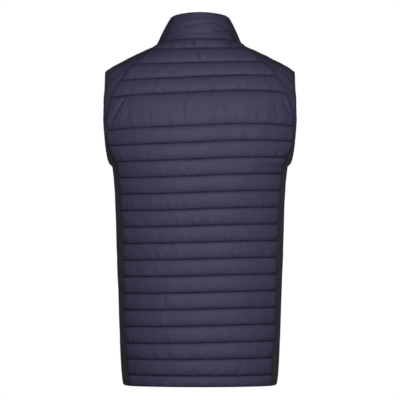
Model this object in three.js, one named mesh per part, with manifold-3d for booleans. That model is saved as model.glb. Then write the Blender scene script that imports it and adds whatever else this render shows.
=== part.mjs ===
// A sleeveless quilted vest, filled out as if worn: quilted back and two quilted fronts, plain
// shoulder panels that run round the armholes, plain side panels, a stand collar, bound armholes
// and a front zip that opens all the way down.
//
// Millimetres. +Z is up, the front faces -Y and the back faces +Y. The origin is in the middle of
// the neck, level with the place where the shoulder meets the collar.

import * as THREE from "three";
import { mergeVertices } from "three/addons/utils/BufferGeometryUtils.js";
import Module from "manifold-3d";

const wasm = await Module();
wasm.setup();

// Cloth

const WALL = 2.4; // thickness of every piece at its seams
const HALF_SEAM = 0.2; // how far a piece stops short of its seam line
const CROWN = 5.6; // how far a channel stands out between two stitch lines
const CROWN_FALL = 16; // the padding thins out over this distance from a side seam
const CROWN_ROUND = 0.6; // how full the padding is: lower is fuller
const WIDE_CHANNEL = { from: 16, to: 18, crown: 6.6 }; // one channel across the shoulder blades

// The ring round the body at each height: half its width, how far back and forward it reaches,
// where it is widest, and how square it is (2 is an ellipse).

const FIGURE = named(
  ["height", "half", "back", "front", "middle", "square"],
  [-705, 157.6, 124.0, -125.0, -3, 2.3],
  [-690, 159.8, 123.4, -124.6, -3, 2.3],
  [-669, 161.6, 122.6, -124.0, -3, 2.3],
  [-519, 167.4, 112.5, -118.0, -3, 2.3],
  [-444, 170.3, 111.0, -119.0, -3, 2.3],
  [-307, 174.8, 118.5, -128.0, -3, 2.4],
  [-262, 178.9, 121.8, -130.0, -3, 2.4],
  [-252, 180.6, 122.2, -130.0, -2.9, 2.4],
  [-247, 185.4, 122.4, -129.9, -2.7, 2.41],
  [-240, 189.6, 122.6, -129.7, -2.4, 2.43],
  [-232, 192.8, 122.7, -129.5, -2, 2.45],
  [-207, 200.1, 122.5, -128.0, -1, 2.5],
  [-150, 209.6, 118.2, -118.0, 0, 2.5],
  [-120, 210.0, 113.0, -109.5, 0, 2.5],
  [-95, 206.0, 106.8, -101.0, -1, 2.5],
  [-59, 194.0, 94.5, -86.5, -3, 2.4],
  [-34, 153.2, 84.8, -75.0, -4, 2.3],
  [-9, 100.9, 74.2, -61.7, -4.9, 2.2],
  [-1, 81.2, 70.8, -57.5, -5, 2.2],
  [12, 59.5, 65.3, -51.0, -5, 2.2],
);

// The long seams that part the back and the fronts from the side and shoulder panels, as a share
// of the depth from the middle of the ring to its back or front.

const SEAM = named(
  ["height", "back", "front"],
  [-705, 0.465, 0.45],
  [-665, 0.49, 0.46],
  [-618, 0.457, 0.44],
  [-530, 0.438, 0.42],
  [-377, 0.46, 0.43],
  [-276, 0.44, 0.42],
  [-232, 0.495, 0.46],
  [-205, 0.448, 0.445],
  [-180, 0.491, 0.509],
  [-161, 0.511, 0.544],
  [-136, 0.569, 0.582],
  [-120, 0.594, 0.606],
  [-80, 0.685, 0.665],
  [-61, 0.718, 0.69],
  [-45, 0.71, 0.68],
  [-22, 0.59, 0.56],
  [-1, 0.24, 0.3],
);

// The lines across the body, from the hem up. Line 17 crosses the wide channel and isn't stitched,
// and line 22 is the neck seam. Tilt and droop are how far a line falls towards the wearer's left
// and towards both sides at LINE_REACH from the middle. Turn is where a line meets the armhole, in
// degrees round it from its top.

const LINE_REACH = 170;
const LINES = named(
  ["line", "height", "tilt", "droop", "turn"],
  [0, -705.0, 0, 3, 180],
  [1, -681.9, 0, 2, 180],
  [3, -615.0, 2.5, 2, 180],
  [9, -409.6, 3.1, 1, 180],
  [13, -273.3, 4.2, 0, 180],
  [15, -204.7, 4.7, 1.7, 123],
  [16, -170.5, 4.5, 3.6, 104],
  [17, -137.0, 4.5, 4, 87],
  [18, -103.0, 4.5, 4.8, 66],
  [19, -71.8, 4.5, 3.1, 46],
  [20, -42.6, 2.4, 0, 31],
  [21, -13.5, 2.1, 0, 18],
  [22, -1.0, 1, 0, 8],
);
const PANEL_FOOT = 0;
const SIDE_TOP = 15; // the side panels end here and the shoulder panels begin
const SIDE_EVEN_TO = 11; // the side panel's rows are level up to this line
const NECK = 22;
const CHANNEL_STEPS = [0, 0.2, 0.5, 0.8]; // rows of points in one channel

// Neck and collar

const BACK_NECK_RISE = 7.8; // the neck seam is this much higher at the middle of the back
const NECK_HALF = 86;
const NECK_ROUND = 2.4; // how flat the middle of that rise is
const FRONT_NECK_LINE = 19.5; // the neck seam meets the zip at this line
const FRONT_NECK_TOP = -6; // height at which it meets the shoulder panel in front
const FRONT_NECK_ROUND = 2.2;
const FRONT_NECK_TIP = 3; // width of a front's topmost corner
const FRONT_NECK_STEPS = [0.5, 0.58, 0.7, 0.85];
const COLLAR = { half: 58.5, back: 54, bulge: 1.5 };
// The height of its top edge is a sum of waves round the neck, from the middle of the back
const COLLAR_TOP = { middle: 42.9, slope: 27.24, dip: 9.1, arch: 2.56 };
const COLLAR_ROWS = named(
  ["share", "thick"],
  [0, WALL],
  [0.12, 2.8],
  [0.35, 4.2],
  [0.65, 4.4],
  [0.9, 3.8],
  [1, 2.8],
);

// Armholes: half widths to the back and front, half heights above and below the widest place

const ARMHOLE = { middle: -1, widest: -140, back: 55, front: 58, up: 80, down: 106, round: 2.2 };
const BINDING = { width: 4.8, thick: 3.4, wrap: 0.8 };
const BINDING_LEAN = { side: 0.8, top: 0.5, foot: 0.95 }; // how much of a width shows in the loop

// Zip

const ZIP_EDGE = 5.5; // each front and collar end stops this far from the middle
const ZIP_HALF_GAP = 0.2;
const TAPE = { thick: 1, under: 6, behind: 0.5 }; // it lies behind the front's edge
const CHAIN = { half: 3.2, proud: 1.6 }; // the band that the teeth fill
const ZIP_FOOT_LINE = 0.5;
const ZIP_TOP_SHARE = 0.9; // the tape ends here on the collar
const SLIDER = { width: 8.4, tall: 11, plate: 1.3, clear: 0.3, web: 1.6 };
const ARCH = { bore: 1.2, reach: 2.3, width: 1.8, sides: 12 };
const TAB = { thick: 1.2, half: 3.6, bar: 0.6, slot: 4.6, slotHalf: 1.6, tall: 31, round: 1.6, sides: 3 };
const BOX = { width: 9.6, tall: 9, plate: 1.4, clear: 0.3, web: 1.6 };

// Columns of points across a piece, as shares of its width

const BACK_COLUMNS = mirrored([0.22, 0.43, 0.63, 0.8, 0.93, 1]);
const FRONT_COLUMNS = [0, 0.08, 0.22, 0.4, 0.58, 0.76, 0.91, 1];
const SHOULDER_COLUMNS = [0, 0.2, 0.4, 0.6, 0.8, 1];
const SIDE_COLUMNS = 8;

const LEFT = 1; // the wearer's left is +X
const RIGHT = -1;
const BACK = 1;
const FRONT = -1;
const STEP = 0.05; // for slopes
const TURN_STEP = 0.0005;
const SETTLE_ROUNDS = 6;
const SAME_POINT = 1e-4;

// Tables

function named(columns, ...rows) {
  return rows.map((row) => Object.fromEntries(columns.map((name, i) => [name, row[i]])));
}

function mirrored(shares) {
  return [...shares.map((s) => -s).reverse(), 0, ...shares];
}

function mix(a, b, share) {
  return a + (b - a) * share;
}

function straight(table, key, column, at) {
  const last = table.length - 1;
  const found = table.findIndex((row) => row[key] >= at);
  const high = Math.min(Math.max(found < 0 ? last : found, 1), last);
  const share = (at - table[high - 1][key]) / (table[high][key] - table[high - 1][key]);
  return mix(table[high - 1][column], table[high][column], share);
}

// A curve through the rows of a table that never overshoots them.

function slopes(table, column) {
  const run = table.slice(1).map((row, i) => row.height - table[i].height);
  const rise = table.slice(1).map((row, i) => (row[column] - table[i][column]) / run[i]);
  return table.map((row, i) => {
    if (i === 0) return rise[0];
    if (i === table.length - 1) return rise[i - 1];
    if (rise[i - 1] * rise[i] <= 0) return 0;
    const before = 2 * run[i] + run[i - 1];
    const after = run[i] + 2 * run[i - 1];
    return (before + after) / (before / rise[i - 1] + after / rise[i]);
  });
}

function curve(table, column) {
  const slope = slopes(table, column);
  return (height) => {
    const last = table.length - 1;
    const h = THREE.MathUtils.clamp(height, table[0].height, table[last].height);
    const high = Math.max(table.findIndex((row) => row.height >= h), 1);
    const low = high - 1;
    const run = table[high].height - table[low].height;
    const t = (h - table[low].height) / run;
    const s = 1 - t;
    return (
      table[low][column] * s * s * (1 + 2 * t) +
      slope[low] * run * s * s * t +
      table[high][column] * t * t * (3 - 2 * t) -
      slope[high] * run * t * t * s
    );
  };
}

const ring = Object.fromEntries(
  ["half", "back", "front", "middle", "square"].map((name) => [name, curve(FIGURE, name)]),
);
const seamShare = { [BACK]: curve(SEAM, "back"), [FRONT]: curve(SEAM, "front") };

// The surface: an angle from the middle of the back, positive to the wearer's left, and a height

function depth(height, face) {
  const reach = face === BACK ? ring.back(height) : ring.front(height);
  return Math.abs(reach - ring.middle(height));
}

function onRing(angle, height) {
  const square = ring.square(height);
  const across = Math.abs(Math.sin(angle) / ring.half(height)) ** square;
  const face = Math.cos(angle) >= 0 ? BACK : FRONT;
  const along = Math.abs(Math.cos(angle) / depth(height, face)) ** square;
  const reach = (across + along) ** (-1 / square);
  return new THREE.Vector3(
    reach * Math.sin(angle),
    ring.middle(height) + reach * Math.cos(angle),
    height,
  );
}

function onBody(angle, height) {
  const round = onRing(angle + TURN_STEP, height).sub(onRing(angle - TURN_STEP, height));
  const up = onRing(angle, height + STEP).sub(onRing(angle, height - STEP));
  return { point: onRing(angle, height), normal: up.cross(round).normalize(), angle, height };
}

function angleAtDepth(along, height, side) {
  const square = ring.square(height);
  const most = depth(height, along >= 0 ? BACK : FRONT);
  const across = ring.half(height) * (1 - Math.abs(along / most) ** square) ** (1 / square);
  return side * Math.atan2(across, along);
}

function frontAngleAt(across, height, side) {
  const square = ring.square(height);
  const along = depth(height, FRONT) * (1 - (across / ring.half(height)) ** square) ** (1 / square);
  return side * Math.atan2(across, -along);
}

function seamAngle(height, side, face) {
  return angleAtDepth(face * seamShare[face](height) * depth(height, face), height, side);
}

// Heights of the lines across the body

function lineHeight(line, across, face) {
  const s = across / LINE_REACH;
  const tilt = straight(LINES, "line", "tilt", line) * s * (2 - Math.abs(s));
  const droop = straight(LINES, "line", "droop", line) * s ** 4;
  const level = straight(LINES, "line", "height", line);
  const over = Math.max(line - (NECK - 1), 0);
  const rise = BACK_NECK_RISE * (1 - Math.min(Math.abs(across / NECK_HALF), 1) ** NECK_ROUND);
  const frontFall = FRONT_NECK_TOP - LINES[LINES.length - 1].height;
  return level - tilt - droop + over * (face === BACK ? rise : frontFall);
}

// A place on a line, where its angle depends on its height and its height on its place across

function settle(line, face, angleAt) {
  let height = lineHeight(line, 0, face);
  for (let i = 0; i < SETTLE_ROUNDS; i++) {
    height = lineHeight(line, onRing(angleAt(height), height).x, face);
  }
  return onBody(angleAt(height), height);
}

function seamPlace(line, side, face) {
  return settle(line, face, (height) => seamAngle(height, side, face));
}

function frontNeckAngle(height, side) {
  const foot = lineHeight(FRONT_NECK_LINE, side * ZIP_EDGE, FRONT);
  const up = THREE.MathUtils.clamp((height - foot) / (FRONT_NECK_TOP - foot), 0, 1);
  const corner = onRing(seamAngle(FRONT_NECK_TOP, LEFT, FRONT), FRONT_NECK_TOP).x - FRONT_NECK_TIP;
  return frontAngleAt(mix(ZIP_EDGE, corner, up ** (1 / FRONT_NECK_ROUND)), height, side);
}

// Between two half lines an edge runs straight, so that the pieces on both sides of it agree

function onChord(line, placeAt) {
  const low = Math.floor(line * 2) / 2;
  if (line === low) return placeAt(line);
  const a = placeAt(low);
  const b = placeAt(low + 0.5);
  const share = (line - low) * 2;
  return {
    point: a.point.clone().lerp(b.point, share),
    normal: a.normal.clone().lerp(b.normal, share).normalize(),
  };
}

// Quilting

function crownAt(line) {
  const wide = line > WIDE_CHANNEL.from && line < WIDE_CHANNEL.to;
  const low = wide ? WIDE_CHANNEL.from : Math.floor(line);
  const span = wide ? WIDE_CHANNEL.to - low : 1;
  const crown = wide ? WIDE_CHANNEL.crown : CROWN;
  return crown * Math.sin((Math.PI * (line - low)) / span) ** CROWN_ROUND;
}

function quilted(place, line, fromEdge) {
  const fall = Math.min(fromEdge / CROWN_FALL, 1) ** CROWN_ROUND;
  return { ...place, thick: WALL + crownAt(line) * fall };
}

function steppedLines(foot, top, steps) {
  const lines = [];
  for (let line = foot; line < top; line++) lines.push(...steps.map((s) => line + s));
  return lines;
}

function halfLines(foot, top) {
  return Array.from({ length: (top - foot) * 2 + 1 }, (_, i) => foot + i / 2);
}

// Solids from grids of places: the outer face lifts off the plain inner one by each place's
// thickness, and edges stop short of the seam line.

function triangulated(points, faces) {
  const geometry = new THREE.BufferGeometry();
  geometry.setAttribute(
    "position",
    new THREE.Float32BufferAttribute(points.flatMap((p) => [p.x, p.y, p.z]), 3),
  );
  const volume = faces.reduce(
    (sum, [a, b, c]) => sum + points[a].dot(points[b].clone().cross(points[c])),
    0,
  );
  geometry.setIndex(faces.flatMap(([a, b, c]) => (volume > 0 ? [a, b, c] : [a, c, b])));
  return geometry;
}

function drawnIn(grid) {
  const last = grid.length - 1;
  const end = grid[0].length - 1;
  return grid.map((row, i) =>
    row.map((place, j) => {
      const point = place.point.clone();
      const pull = (other) => {
        point.addScaledVector(other.point.clone().sub(place.point).normalize(), HALF_SEAM);
      };
      if (i === 0) pull(grid[1][j]);
      if (i === last) pull(grid[last - 1][j]);
      if (j === 0) pull(row[1]);
      if (j === end) pull(row[end - 1]);
      return { ...place, point };
    }),
  );
}

// Joins two edges with different numbers of points

function zipped(outer, inner, faces) {
  let i = 0;
  let j = 0;
  while (i < outer.length - 1 || j < inner.length - 1) {
    const outerNext = i < outer.length - 1 ? outer[i + 1].at : Infinity;
    const innerNext = j < inner.length - 1 ? inner[j + 1].at : Infinity;
    if (outerNext <= innerNext) {
      faces.push([outer[i + 1].id, outer[i].id, inner[j].id]);
      i++;
    } else {
      faces.push([outer[i].id, inner[j].id, inner[j + 1].id]);
      j++;
    }
  }
}

function panel(grid, innerRows) {
  const places = drawnIn(grid);
  const width = grid[0].length;
  const end = width - 1;
  const rows = places.map((_, i) => i);
  const columns = places[0].map((_, j) => j);
  const points = places.flat().map((p) => p.point.clone().addScaledVector(p.normal, p.thick));
  const start = points.length;
  innerRows.forEach((i) => points.push(...places[i].map((p) => p.point)));
  const outerId = (i, j) => i * width + j;
  const innerId = (k, j) => start + k * width + j;
  const faces = [];
  for (let i = 0; i < rows.length - 1; i++) {
    for (let j = 0; j < end; j++) {
      faces.push([outerId(i, j), outerId(i, j + 1), outerId(i + 1, j + 1)]);
      faces.push([outerId(i, j), outerId(i + 1, j + 1), outerId(i + 1, j)]);
    }
  }
  for (let k = 0; k < innerRows.length - 1; k++) {
    for (let j = 0; j < end; j++) {
      faces.push([innerId(k, j), innerId(k + 1, j + 1), innerId(k, j + 1)]);
      faces.push([innerId(k, j), innerId(k + 1, j), innerId(k + 1, j + 1)]);
    }
  }
  const top = innerRows.length - 1;
  const outerRow = (i) => columns.map((j) => ({ at: j, id: outerId(i, j) }));
  const innerRow = (k) => columns.map((j) => ({ at: j, id: innerId(k, j) }));
  const outerColumn = (j) => rows.map((i) => ({ at: i, id: outerId(i, j) }));
  const innerColumn = (j) => innerRows.map((i, k) => ({ at: i, id: innerId(k, j) }));
  const turned = (edge) => edge.map(({ at, id }) => ({ at: -at, id })).reverse();
  zipped(outerRow(0), innerRow(0), faces);
  zipped(outerColumn(end), innerColumn(end), faces);
  zipped(turned(outerRow(rows.length - 1)), turned(innerRow(top)), faces);
  zipped(turned(outerColumn(0)), turned(innerColumn(0)), faces);
  return triangulated(points, faces);
}

// A bar whose section is a loop of points at each place; the loop of places may itself be closed

function swept(sections, closed) {
  const size = sections[0].length;
  const points = sections.flat();
  const faces = [];
  const count = closed ? sections.length : sections.length - 1;
  for (let i = 0; i < count; i++) {
    const next = (i + 1) % sections.length;
    for (let j = 0; j < size; j++) {
      const side = (j + 1) % size;
      faces.push([i * size + j, i * size + side, next * size + side]);
      faces.push([i * size + j, next * size + side, next * size + j]);
    }
  }
  if (!closed) {
    const outline = sections.map((section) => flatCap(section));
    outline[0].forEach(([a, b, c]) => faces.push([a, c, b]));
    const start = (sections.length - 1) * size;
    outline[outline.length - 1].forEach(([a, b, c]) => faces.push([start + a, start + b, start + c]));
  }
  return triangulated(points, faces);
}

function flatCap(section) {
  const along = section[1].clone().sub(section[0]).normalize();
  const other = section[section.length - 1].clone().sub(section[0]);
  const up = other.addScaledVector(along, -other.dot(along)).normalize();
  const flat = section.map((p) => {
    const from = p.clone().sub(section[0]);
    return new THREE.Vector2(from.dot(along), from.dot(up));
  });
  return THREE.ShapeUtils.triangulateShape(flat, []);
}

// Body panels

function backPlace(line, share) {
  const side = share < 0 ? RIGHT : LEFT;
  if (Math.abs(share) === 1) return onChord(line, (at) => seamPlace(at, side, BACK));
  return settle(line, BACK, (height) => Math.abs(share) * seamAngle(height, side, BACK));
}

function rowWidth(row) {
  return row.slice(1).reduce((sum, p, j) => sum + p.point.distanceTo(row[j].point), 0);
}

function back() {
  const lines = [...steppedLines(PANEL_FOOT, NECK, CHANNEL_STEPS), NECK];
  const grid = lines.map((line) => {
    const row = BACK_COLUMNS.map((share) => backPlace(line, share));
    const half = rowWidth(row) / 2;
    return row.map((place, j) => quilted(place, line, (1 - Math.abs(BACK_COLUMNS[j])) * half));
  });
  return { grid, geometry: panel(grid, keptInside(lines)) };
}

// The plain inner face needs fewer rows: those at whole and half lines

function onHalfLine(line) {
  return Number.isInteger(line * 2);
}

function keptInside(lines) {
  return lines.flatMap((line, i) => (onHalfLine(line) ? [i] : []));
}

function frontEdgePlace(line, side) {
  if (line > FRONT_NECK_LINE) return settle(line, FRONT, (height) => frontNeckAngle(height, side));
  const placeAt = (at) => settle(at, FRONT, (height) => frontAngleAt(ZIP_EDGE, height, side));
  return onChord(line, placeAt);
}

function frontPlace(line, share, side) {
  if (share === 0) return frontEdgePlace(line, side);
  if (share === 1) return onChord(line, (at) => seamPlace(at, side, FRONT));
  return settle(line, FRONT, (height) => {
    const above = line > FRONT_NECK_LINE;
    const inner = above ? frontNeckAngle(height, side) : frontAngleAt(ZIP_EDGE, height, side);
    return mix(inner, seamAngle(height, side, FRONT), share);
  });
}

function front(side) {
  const under = Math.floor(FRONT_NECK_LINE);
  const lines = [
    ...steppedLines(PANEL_FOOT, under, CHANNEL_STEPS),
    ...CHANNEL_STEPS.filter((s) => s < FRONT_NECK_STEPS[0]).map((s) => under + s),
    ...FRONT_NECK_STEPS.map((s) => under + s),
    ...steppedLines(under + 1, NECK, CHANNEL_STEPS),
    NECK,
  ];
  const grid = lines.map((line) => {
    const row = FRONT_COLUMNS.map((share) => frontPlace(line, share, side));
    const width = rowWidth(row);
    return row.map((place, j) => {
      const share = FRONT_COLUMNS[j];
      return quilted(place, line, Math.min(share, 1 - share) * width);
    });
  });
  const inside = keptInside(lines);
  const aboveNeck = lines.flatMap((line, i) => (line > FRONT_NECK_LINE ? [i] : []));
  const kept = [...new Set([...inside, ...aboveNeck])].sort((a, b) => a - b);
  return { grid, lines, geometry: panel(grid, kept) };
}

// Armhole: a turn of 0 is at the top, positive to the back, and it grows outwards by a width

function armholePlace(turn, side, width) {
  const a = THREE.MathUtils.degToRad(turn);
  const power = 2 / ARMHOLE.round;
  const lie = Math.abs(Math.sin(a)) ** power * Math.sign(Math.sin(a));
  const rise = Math.abs(Math.cos(a)) ** power * Math.sign(Math.cos(a));
  const reach = (lie >= 0 ? ARMHOLE.back : ARMHOLE.front) + width * BINDING_LEAN.side;
  const up = ARMHOLE.up + width * BINDING_LEAN.top;
  const down = ARMHOLE.down + width * BINDING_LEAN.foot;
  const height = ARMHOLE.widest + rise * (rise >= 0 ? up : down);
  const along = ARMHOLE.middle + lie * reach - ring.middle(height);
  return onBody(angleAtDepth(along, height, side), height);
}

function armholeTurns() {
  const climb = halfLines(SIDE_TOP, NECK).map((line) => straight(LINES, "line", "turn", line));
  const low = LINES.find((row) => row.line === SIDE_TOP).turn;
  const count = SIDE_COLUMNS - 2;
  const under = Array.from({ length: count + 1 }, (_, j) => mix(low, 360 - low, j / count));
  return { climb, under };
}

function plain(place) {
  return { ...place, thick: WALL };
}

function shoulder(side) {
  const { climb } = armholeTurns();
  const lines = halfLines(SIDE_TOP, NECK);
  const row = (seam, turn) => {
    const edge = armholePlace(turn, side, BINDING.width);
    return SHOULDER_COLUMNS.map((share) => {
      if (share === 0) return plain(seam);
      if (share === 1) return plain(edge);
      const angle = mix(seam.angle, edge.angle, share);
      return plain(onBody(angle, mix(seam.height, edge.height, share)));
    });
  };
  const up = lines.map((line, i) => row(seamPlace(line, side, BACK), climb[i]));
  const down = lines.map((line, i) => row(seamPlace(line, side, FRONT), -climb[i])).reverse();
  const ridge = onBody((side * Math.PI) / 2, lineHeight(NECK, side * NECK_HALF, BACK));
  const grid = [...up, row(ridge, 0), ...down];
  const neckEnd = [up[up.length - 1][0], ridge, down[0][0]];
  return { grid, neckEnd, geometry: panel(grid, grid.map((_, i) => i)) };
}

function sidePanel(side) {
  const { under } = armholeTurns();
  const top = under.map((turn) => armholePlace(turn, side, BINDING.width));
  const grid = halfLines(PANEL_FOOT, SIDE_TOP).map((line) => {
    const behind = seamPlace(line, side, BACK);
    const ahead = seamPlace(line, side, FRONT);
    const level = seamPlace(SIDE_EVEN_TO, side, BACK).height;
    const lift = Math.max((line - SIDE_EVEN_TO) / (SIDE_TOP - SIDE_EVEN_TO), 0);
    const inner = top.map((goal, j) => {
      const share = (j + 1) / SIDE_COLUMNS;
      const even = mix(behind.angle, ahead.angle, share);
      const height = lift > 0 ? mix(level, goal.height, lift) : mix(behind.height, ahead.height, share);
      return onBody(mix(even, goal.angle, lift), height);
    });
    return [behind, ...inner, ahead].map(plain);
  });
  return panel(grid, grid.map((_, i) => i));
}

function binding(side) {
  const { climb, under } = armholeTurns();
  const down = under.slice(1, -1).reverse();
  const turns = [...climb, 0, ...climb.map((t) => -t).reverse(), ...down];
  const sections = turns.map((turn) => {
    const cloth = armholePlace(turn, side, BINDING.width);
    const open = armholePlace(turn, side, 0);
    const at = (share, lift) => {
      const normal = cloth.normal.clone().lerp(open.normal, share).normalize();
      return cloth.point.clone().lerp(open.point, share).addScaledVector(normal, lift);
    };
    const near = HALF_SEAM / BINDING.width;
    return [
      at(near, 0),
      at(near, WALL),
      at(0.5, BINDING.thick),
      at(1, WALL),
      at(1, 0),
      at(0.5, -BINDING.wrap),
    ];
  });
  return swept(sections, true);
}

// Collar: each place of the neck seam rises to the same share of the way round the top edge

function neckSeam(backGrid, fronts, shoulders) {
  const half = (side) => {
    const { grid, lines } = fronts[side];
    const edge = grid.flatMap((row, i) => (lines[i] >= FRONT_NECK_LINE ? [row[0]] : []));
    const middle = (BACK_COLUMNS.length - 1) / 2;
    const last = backGrid[backGrid.length - 1];
    const across = side === LEFT ? last.slice(middle).reverse() : last.slice(0, middle + 1);
    const [, ridge, corner] = shoulders[side].neckEnd;
    return [...edge, corner, ridge, ...across];
  };
  const left = half(LEFT);
  const right = half(RIGHT).reverse();
  return { left, right };
}

function roundTop(share, side, foot) {
  const end = Math.PI - Math.asin(ZIP_EDGE / COLLAR.half);
  const turn = end * share;
  const middle = (COLLAR.back + foot) / 2;
  const reach = (COLLAR.back - foot) / 2;
  const waves = COLLAR_TOP.slope * Math.cos(turn) - COLLAR_TOP.dip * Math.cos(2 * turn);
  return new THREE.Vector3(
    side * COLLAR.half * Math.sin(turn),
    middle + reach * Math.cos(turn),
    COLLAR_TOP.middle + waves + COLLAR_TOP.arch * Math.cos(3 * turn),
  );
}

function collarColumns(places, side) {
  const run = [0];
  places.slice(1).forEach((p, i) => run.push(run[i] + p.point.distanceTo(places[i].point)));
  const whole = run[run.length - 1];
  const foot = places[0].point.y;
  return places.map((place, i) => {
    const share = 1 - run[i] / whole;
    const top = roundTop(share, side, foot);
    const away = new THREE.Vector3(place.point.x, place.point.y - COLLAR.back / 2 - foot / 2, 0);
    away.normalize().multiplyScalar((COLLAR.bulge * (1 + Math.cos(Math.PI * share))) / 2);
    return COLLAR_ROWS.map(({ share: up }) =>
      place.point.clone().lerp(top, up).addScaledVector(away, Math.sin(Math.PI * up)),
    );
  });
}

function collar(seam) {
  const right = collarColumns([...seam.right].reverse(), RIGHT);
  const columns = [...collarColumns(seam.left, LEFT), ...right.reverse().slice(1)];
  const neck = [...seam.left, ...seam.right.slice(1)];
  const last = columns.length - 1;
  const grid = COLLAR_ROWS.map(({ thick }, i) =>
    columns.map((column, j) => {
      const point = column[i];
      if (i === 0) return { point, normal: neck[j].normal, thick };
      const along = columns[Math.min(j + 1, last)][i].clone().sub(columns[Math.max(j - 1, 0)][i]);
      const up = column[Math.min(i + 1, column.length - 1)].clone().sub(column[i - 1]);
      return { point, normal: along.cross(up).normalize(), thick };
    }),
  );
  return { grid, geometry: panel(grid, grid.map((_, i) => i)) };
}

// Zip tape: a flat tape behind the edge of the front and the collar, with a raised band at the
// middle for the teeth. It is made from the points of the pieces that it is sewn to.

function tapeRoute(side, fronts, collarGrid) {
  const { grid, lines } = fronts[side];
  const body = lines.flatMap((line, i) => {
    const kept = line >= ZIP_FOOT_LINE && line <= FRONT_NECK_LINE && onHalfLine(line);
    return kept ? [[grid[i][0], grid[i][1]]] : [];
  });
  const ends = collarGrid.map((row) => (side === LEFT ? row : [...row].reverse()));
  const upper = COLLAR_ROWS.flatMap(({ share }, i) =>
    share > 0 && share <= ZIP_TOP_SHARE ? [[ends[i][0], ends[i][1]]] : [],
  );
  return [...body, ...upper];
}

function tape(side, route) {
  const sections = route.map(([edge, next]) => {
    const across = next.point.clone().sub(edge.point).normalize();
    const normal = new THREE.Vector3(0, edge.normal.y, edge.normal.z).normalize();
    const at = (x, lift) => {
      const point = new THREE.Vector3(side * x, edge.point.y, edge.point.z);
      return point.addScaledVector(normal, lift);
    };
    const under = (lift) =>
      edge.point.clone().addScaledVector(across, TAPE.under).addScaledVector(edge.normal, lift);
    const face = -TAPE.behind;
    return [
      at(ZIP_HALF_GAP, face - TAPE.thick),
      at(ZIP_EDGE, face - TAPE.thick),
      under(face - TAPE.thick),
      under(face),
      at(ZIP_EDGE, face),
      at(CHAIN.half, face),
      at(CHAIN.half, CHAIN.proud),
      at(ZIP_HALF_GAP, CHAIN.proud),
    ];
  });
  return swept(sections, false);
}

// Hard pieces of the zip, from outlines in the plane of Y and Z pushed out along X

function outlined(points) {
  return new THREE.Shape(points.map(([y, z]) => new THREE.Vector2(y, z)));
}

function pushedAcross(shape, width) {
  const geometry = new THREE.ExtrudeGeometry(shape, {
    depth: width,
    bevelEnabled: false,
    curveSegments: ARCH.sides,
  });
  const turn = new THREE.Matrix4().set(0, 0, 1, -width / 2, 1, 0, 0, 0, 0, 1, 0, 0, 0, 0, 0, 1);
  return geometry.applyMatrix4(turn);
}

function solidOf(geometry) {
  const bare = geometry.clone();
  bare.deleteAttribute("normal");
  bare.deleteAttribute("uv");
  const merged = mergeVertices(bare, SAME_POINT);
  return new wasm.Manifold(
    new wasm.Mesh({
      numProp: 3,
      vertProperties: merged.attributes.position.array,
      triVerts: new Uint32Array(merged.index.array),
    }),
  );
}

function geometryOf(solid) {
  const { vertProperties, triVerts } = solid.getMesh();
  const geometry = new THREE.BufferGeometry();
  geometry.setAttribute("position", new THREE.BufferAttribute(vertProperties, 3));
  return geometry.setIndex(new THREE.BufferAttribute(triVerts, 1));
}

// A clip that holds the ends of both tapes: a plate in front, a plate behind and a web between

function clip(size, end, up) {
  const front = end.y - CHAIN.proud - size.clear;
  const behind = end.y + TAPE.behind + TAPE.thick + size.clear;
  const near = end.z + up * size.clear;
  const far = near + up * size.web;
  const lip = near - up * size.tall;
  return outlined([
    [front - size.plate, far],
    [behind + size.plate, far],
    [behind + size.plate, lip],
    [behind, lip],
    [behind, near],
    [front, near],
    [front, lip],
    [front - size.plate, lip],
  ]);
}

function slider(end, pivot) {
  const body = pushedAcross(clip(SLIDER, end, 1), SLIDER.width);
  const arch = new THREE.Shape();
  const face = pivot.y + ARCH.bore + SLIDER.plate / 2;
  arch.moveTo(face, pivot.z - ARCH.reach);
  arch.absarc(pivot.y, pivot.z, ARCH.reach, -Math.PI / 2, Math.PI / 2, true);
  arch.lineTo(face, pivot.z + ARCH.reach);
  const bore = new THREE.CylinderGeometry(ARCH.bore, ARCH.bore, 2 * ARCH.width, ARCH.sides);
  bore.rotateZ(Math.PI / 2).translate(0, pivot.y, pivot.z);
  const loop = solidOf(pushedAcross(arch, ARCH.width)).subtract(solidOf(bore));
  return geometryOf(solidOf(body).add(loop));
}

function pullTab(pivot) {
  const { half, bar, slot, slotHalf, tall, round, thick, sides } = TAB;
  const plate = new THREE.Shape();
  plate.moveTo(-half + round, bar);
  plate.lineTo(-half, bar - round);
  plate.lineTo(-half, bar - tall + round);
  plate.absarc(-half + round, bar - tall + round, round, Math.PI, Math.PI * 1.5, false);
  plate.absarc(half - round, bar - tall + round, round, Math.PI * 1.5, Math.PI * 2, false);
  plate.lineTo(half, bar - round);
  plate.lineTo(half - round, bar);
  plate.closePath();
  const window = new THREE.Path();
  window.moveTo(-slotHalf, -bar);
  window.lineTo(slotHalf, -bar);
  window.lineTo(slotHalf, -slot);
  window.lineTo(-slotHalf, -slot);
  window.closePath();
  plate.holes.push(window);
  const geometry = new THREE.ExtrudeGeometry(plate, {
    depth: thick,
    bevelEnabled: false,
    curveSegments: sides,
  });
  const turn = new THREE.Matrix4().set(1, 0, 0, 0, 0, 0, -1, thick / 2, 0, 1, 0, 0, 0, 0, 0, 1);
  return geometry.applyMatrix4(turn).translate(0, pivot.y, pivot.z);
}

// Finishes

const FINISHES = {
  shell: { color: "#454359", roughness: 0.55 },
  yoke: { color: "#3c3a50", roughness: 0.6 },
  stretch: { color: "#28272c", roughness: 0.8 },
  trim: { color: "#2b2b34", roughness: 0.7 },
  tape: { color: "#26252f", roughness: 0.8 },
  hardware: { color: "#1d1d20", roughness: 0.4 },
};

function finish(name) {
  return new THREE.MeshStandardMaterial({ ...FINISHES[name], metalness: 0 });
}

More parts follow.
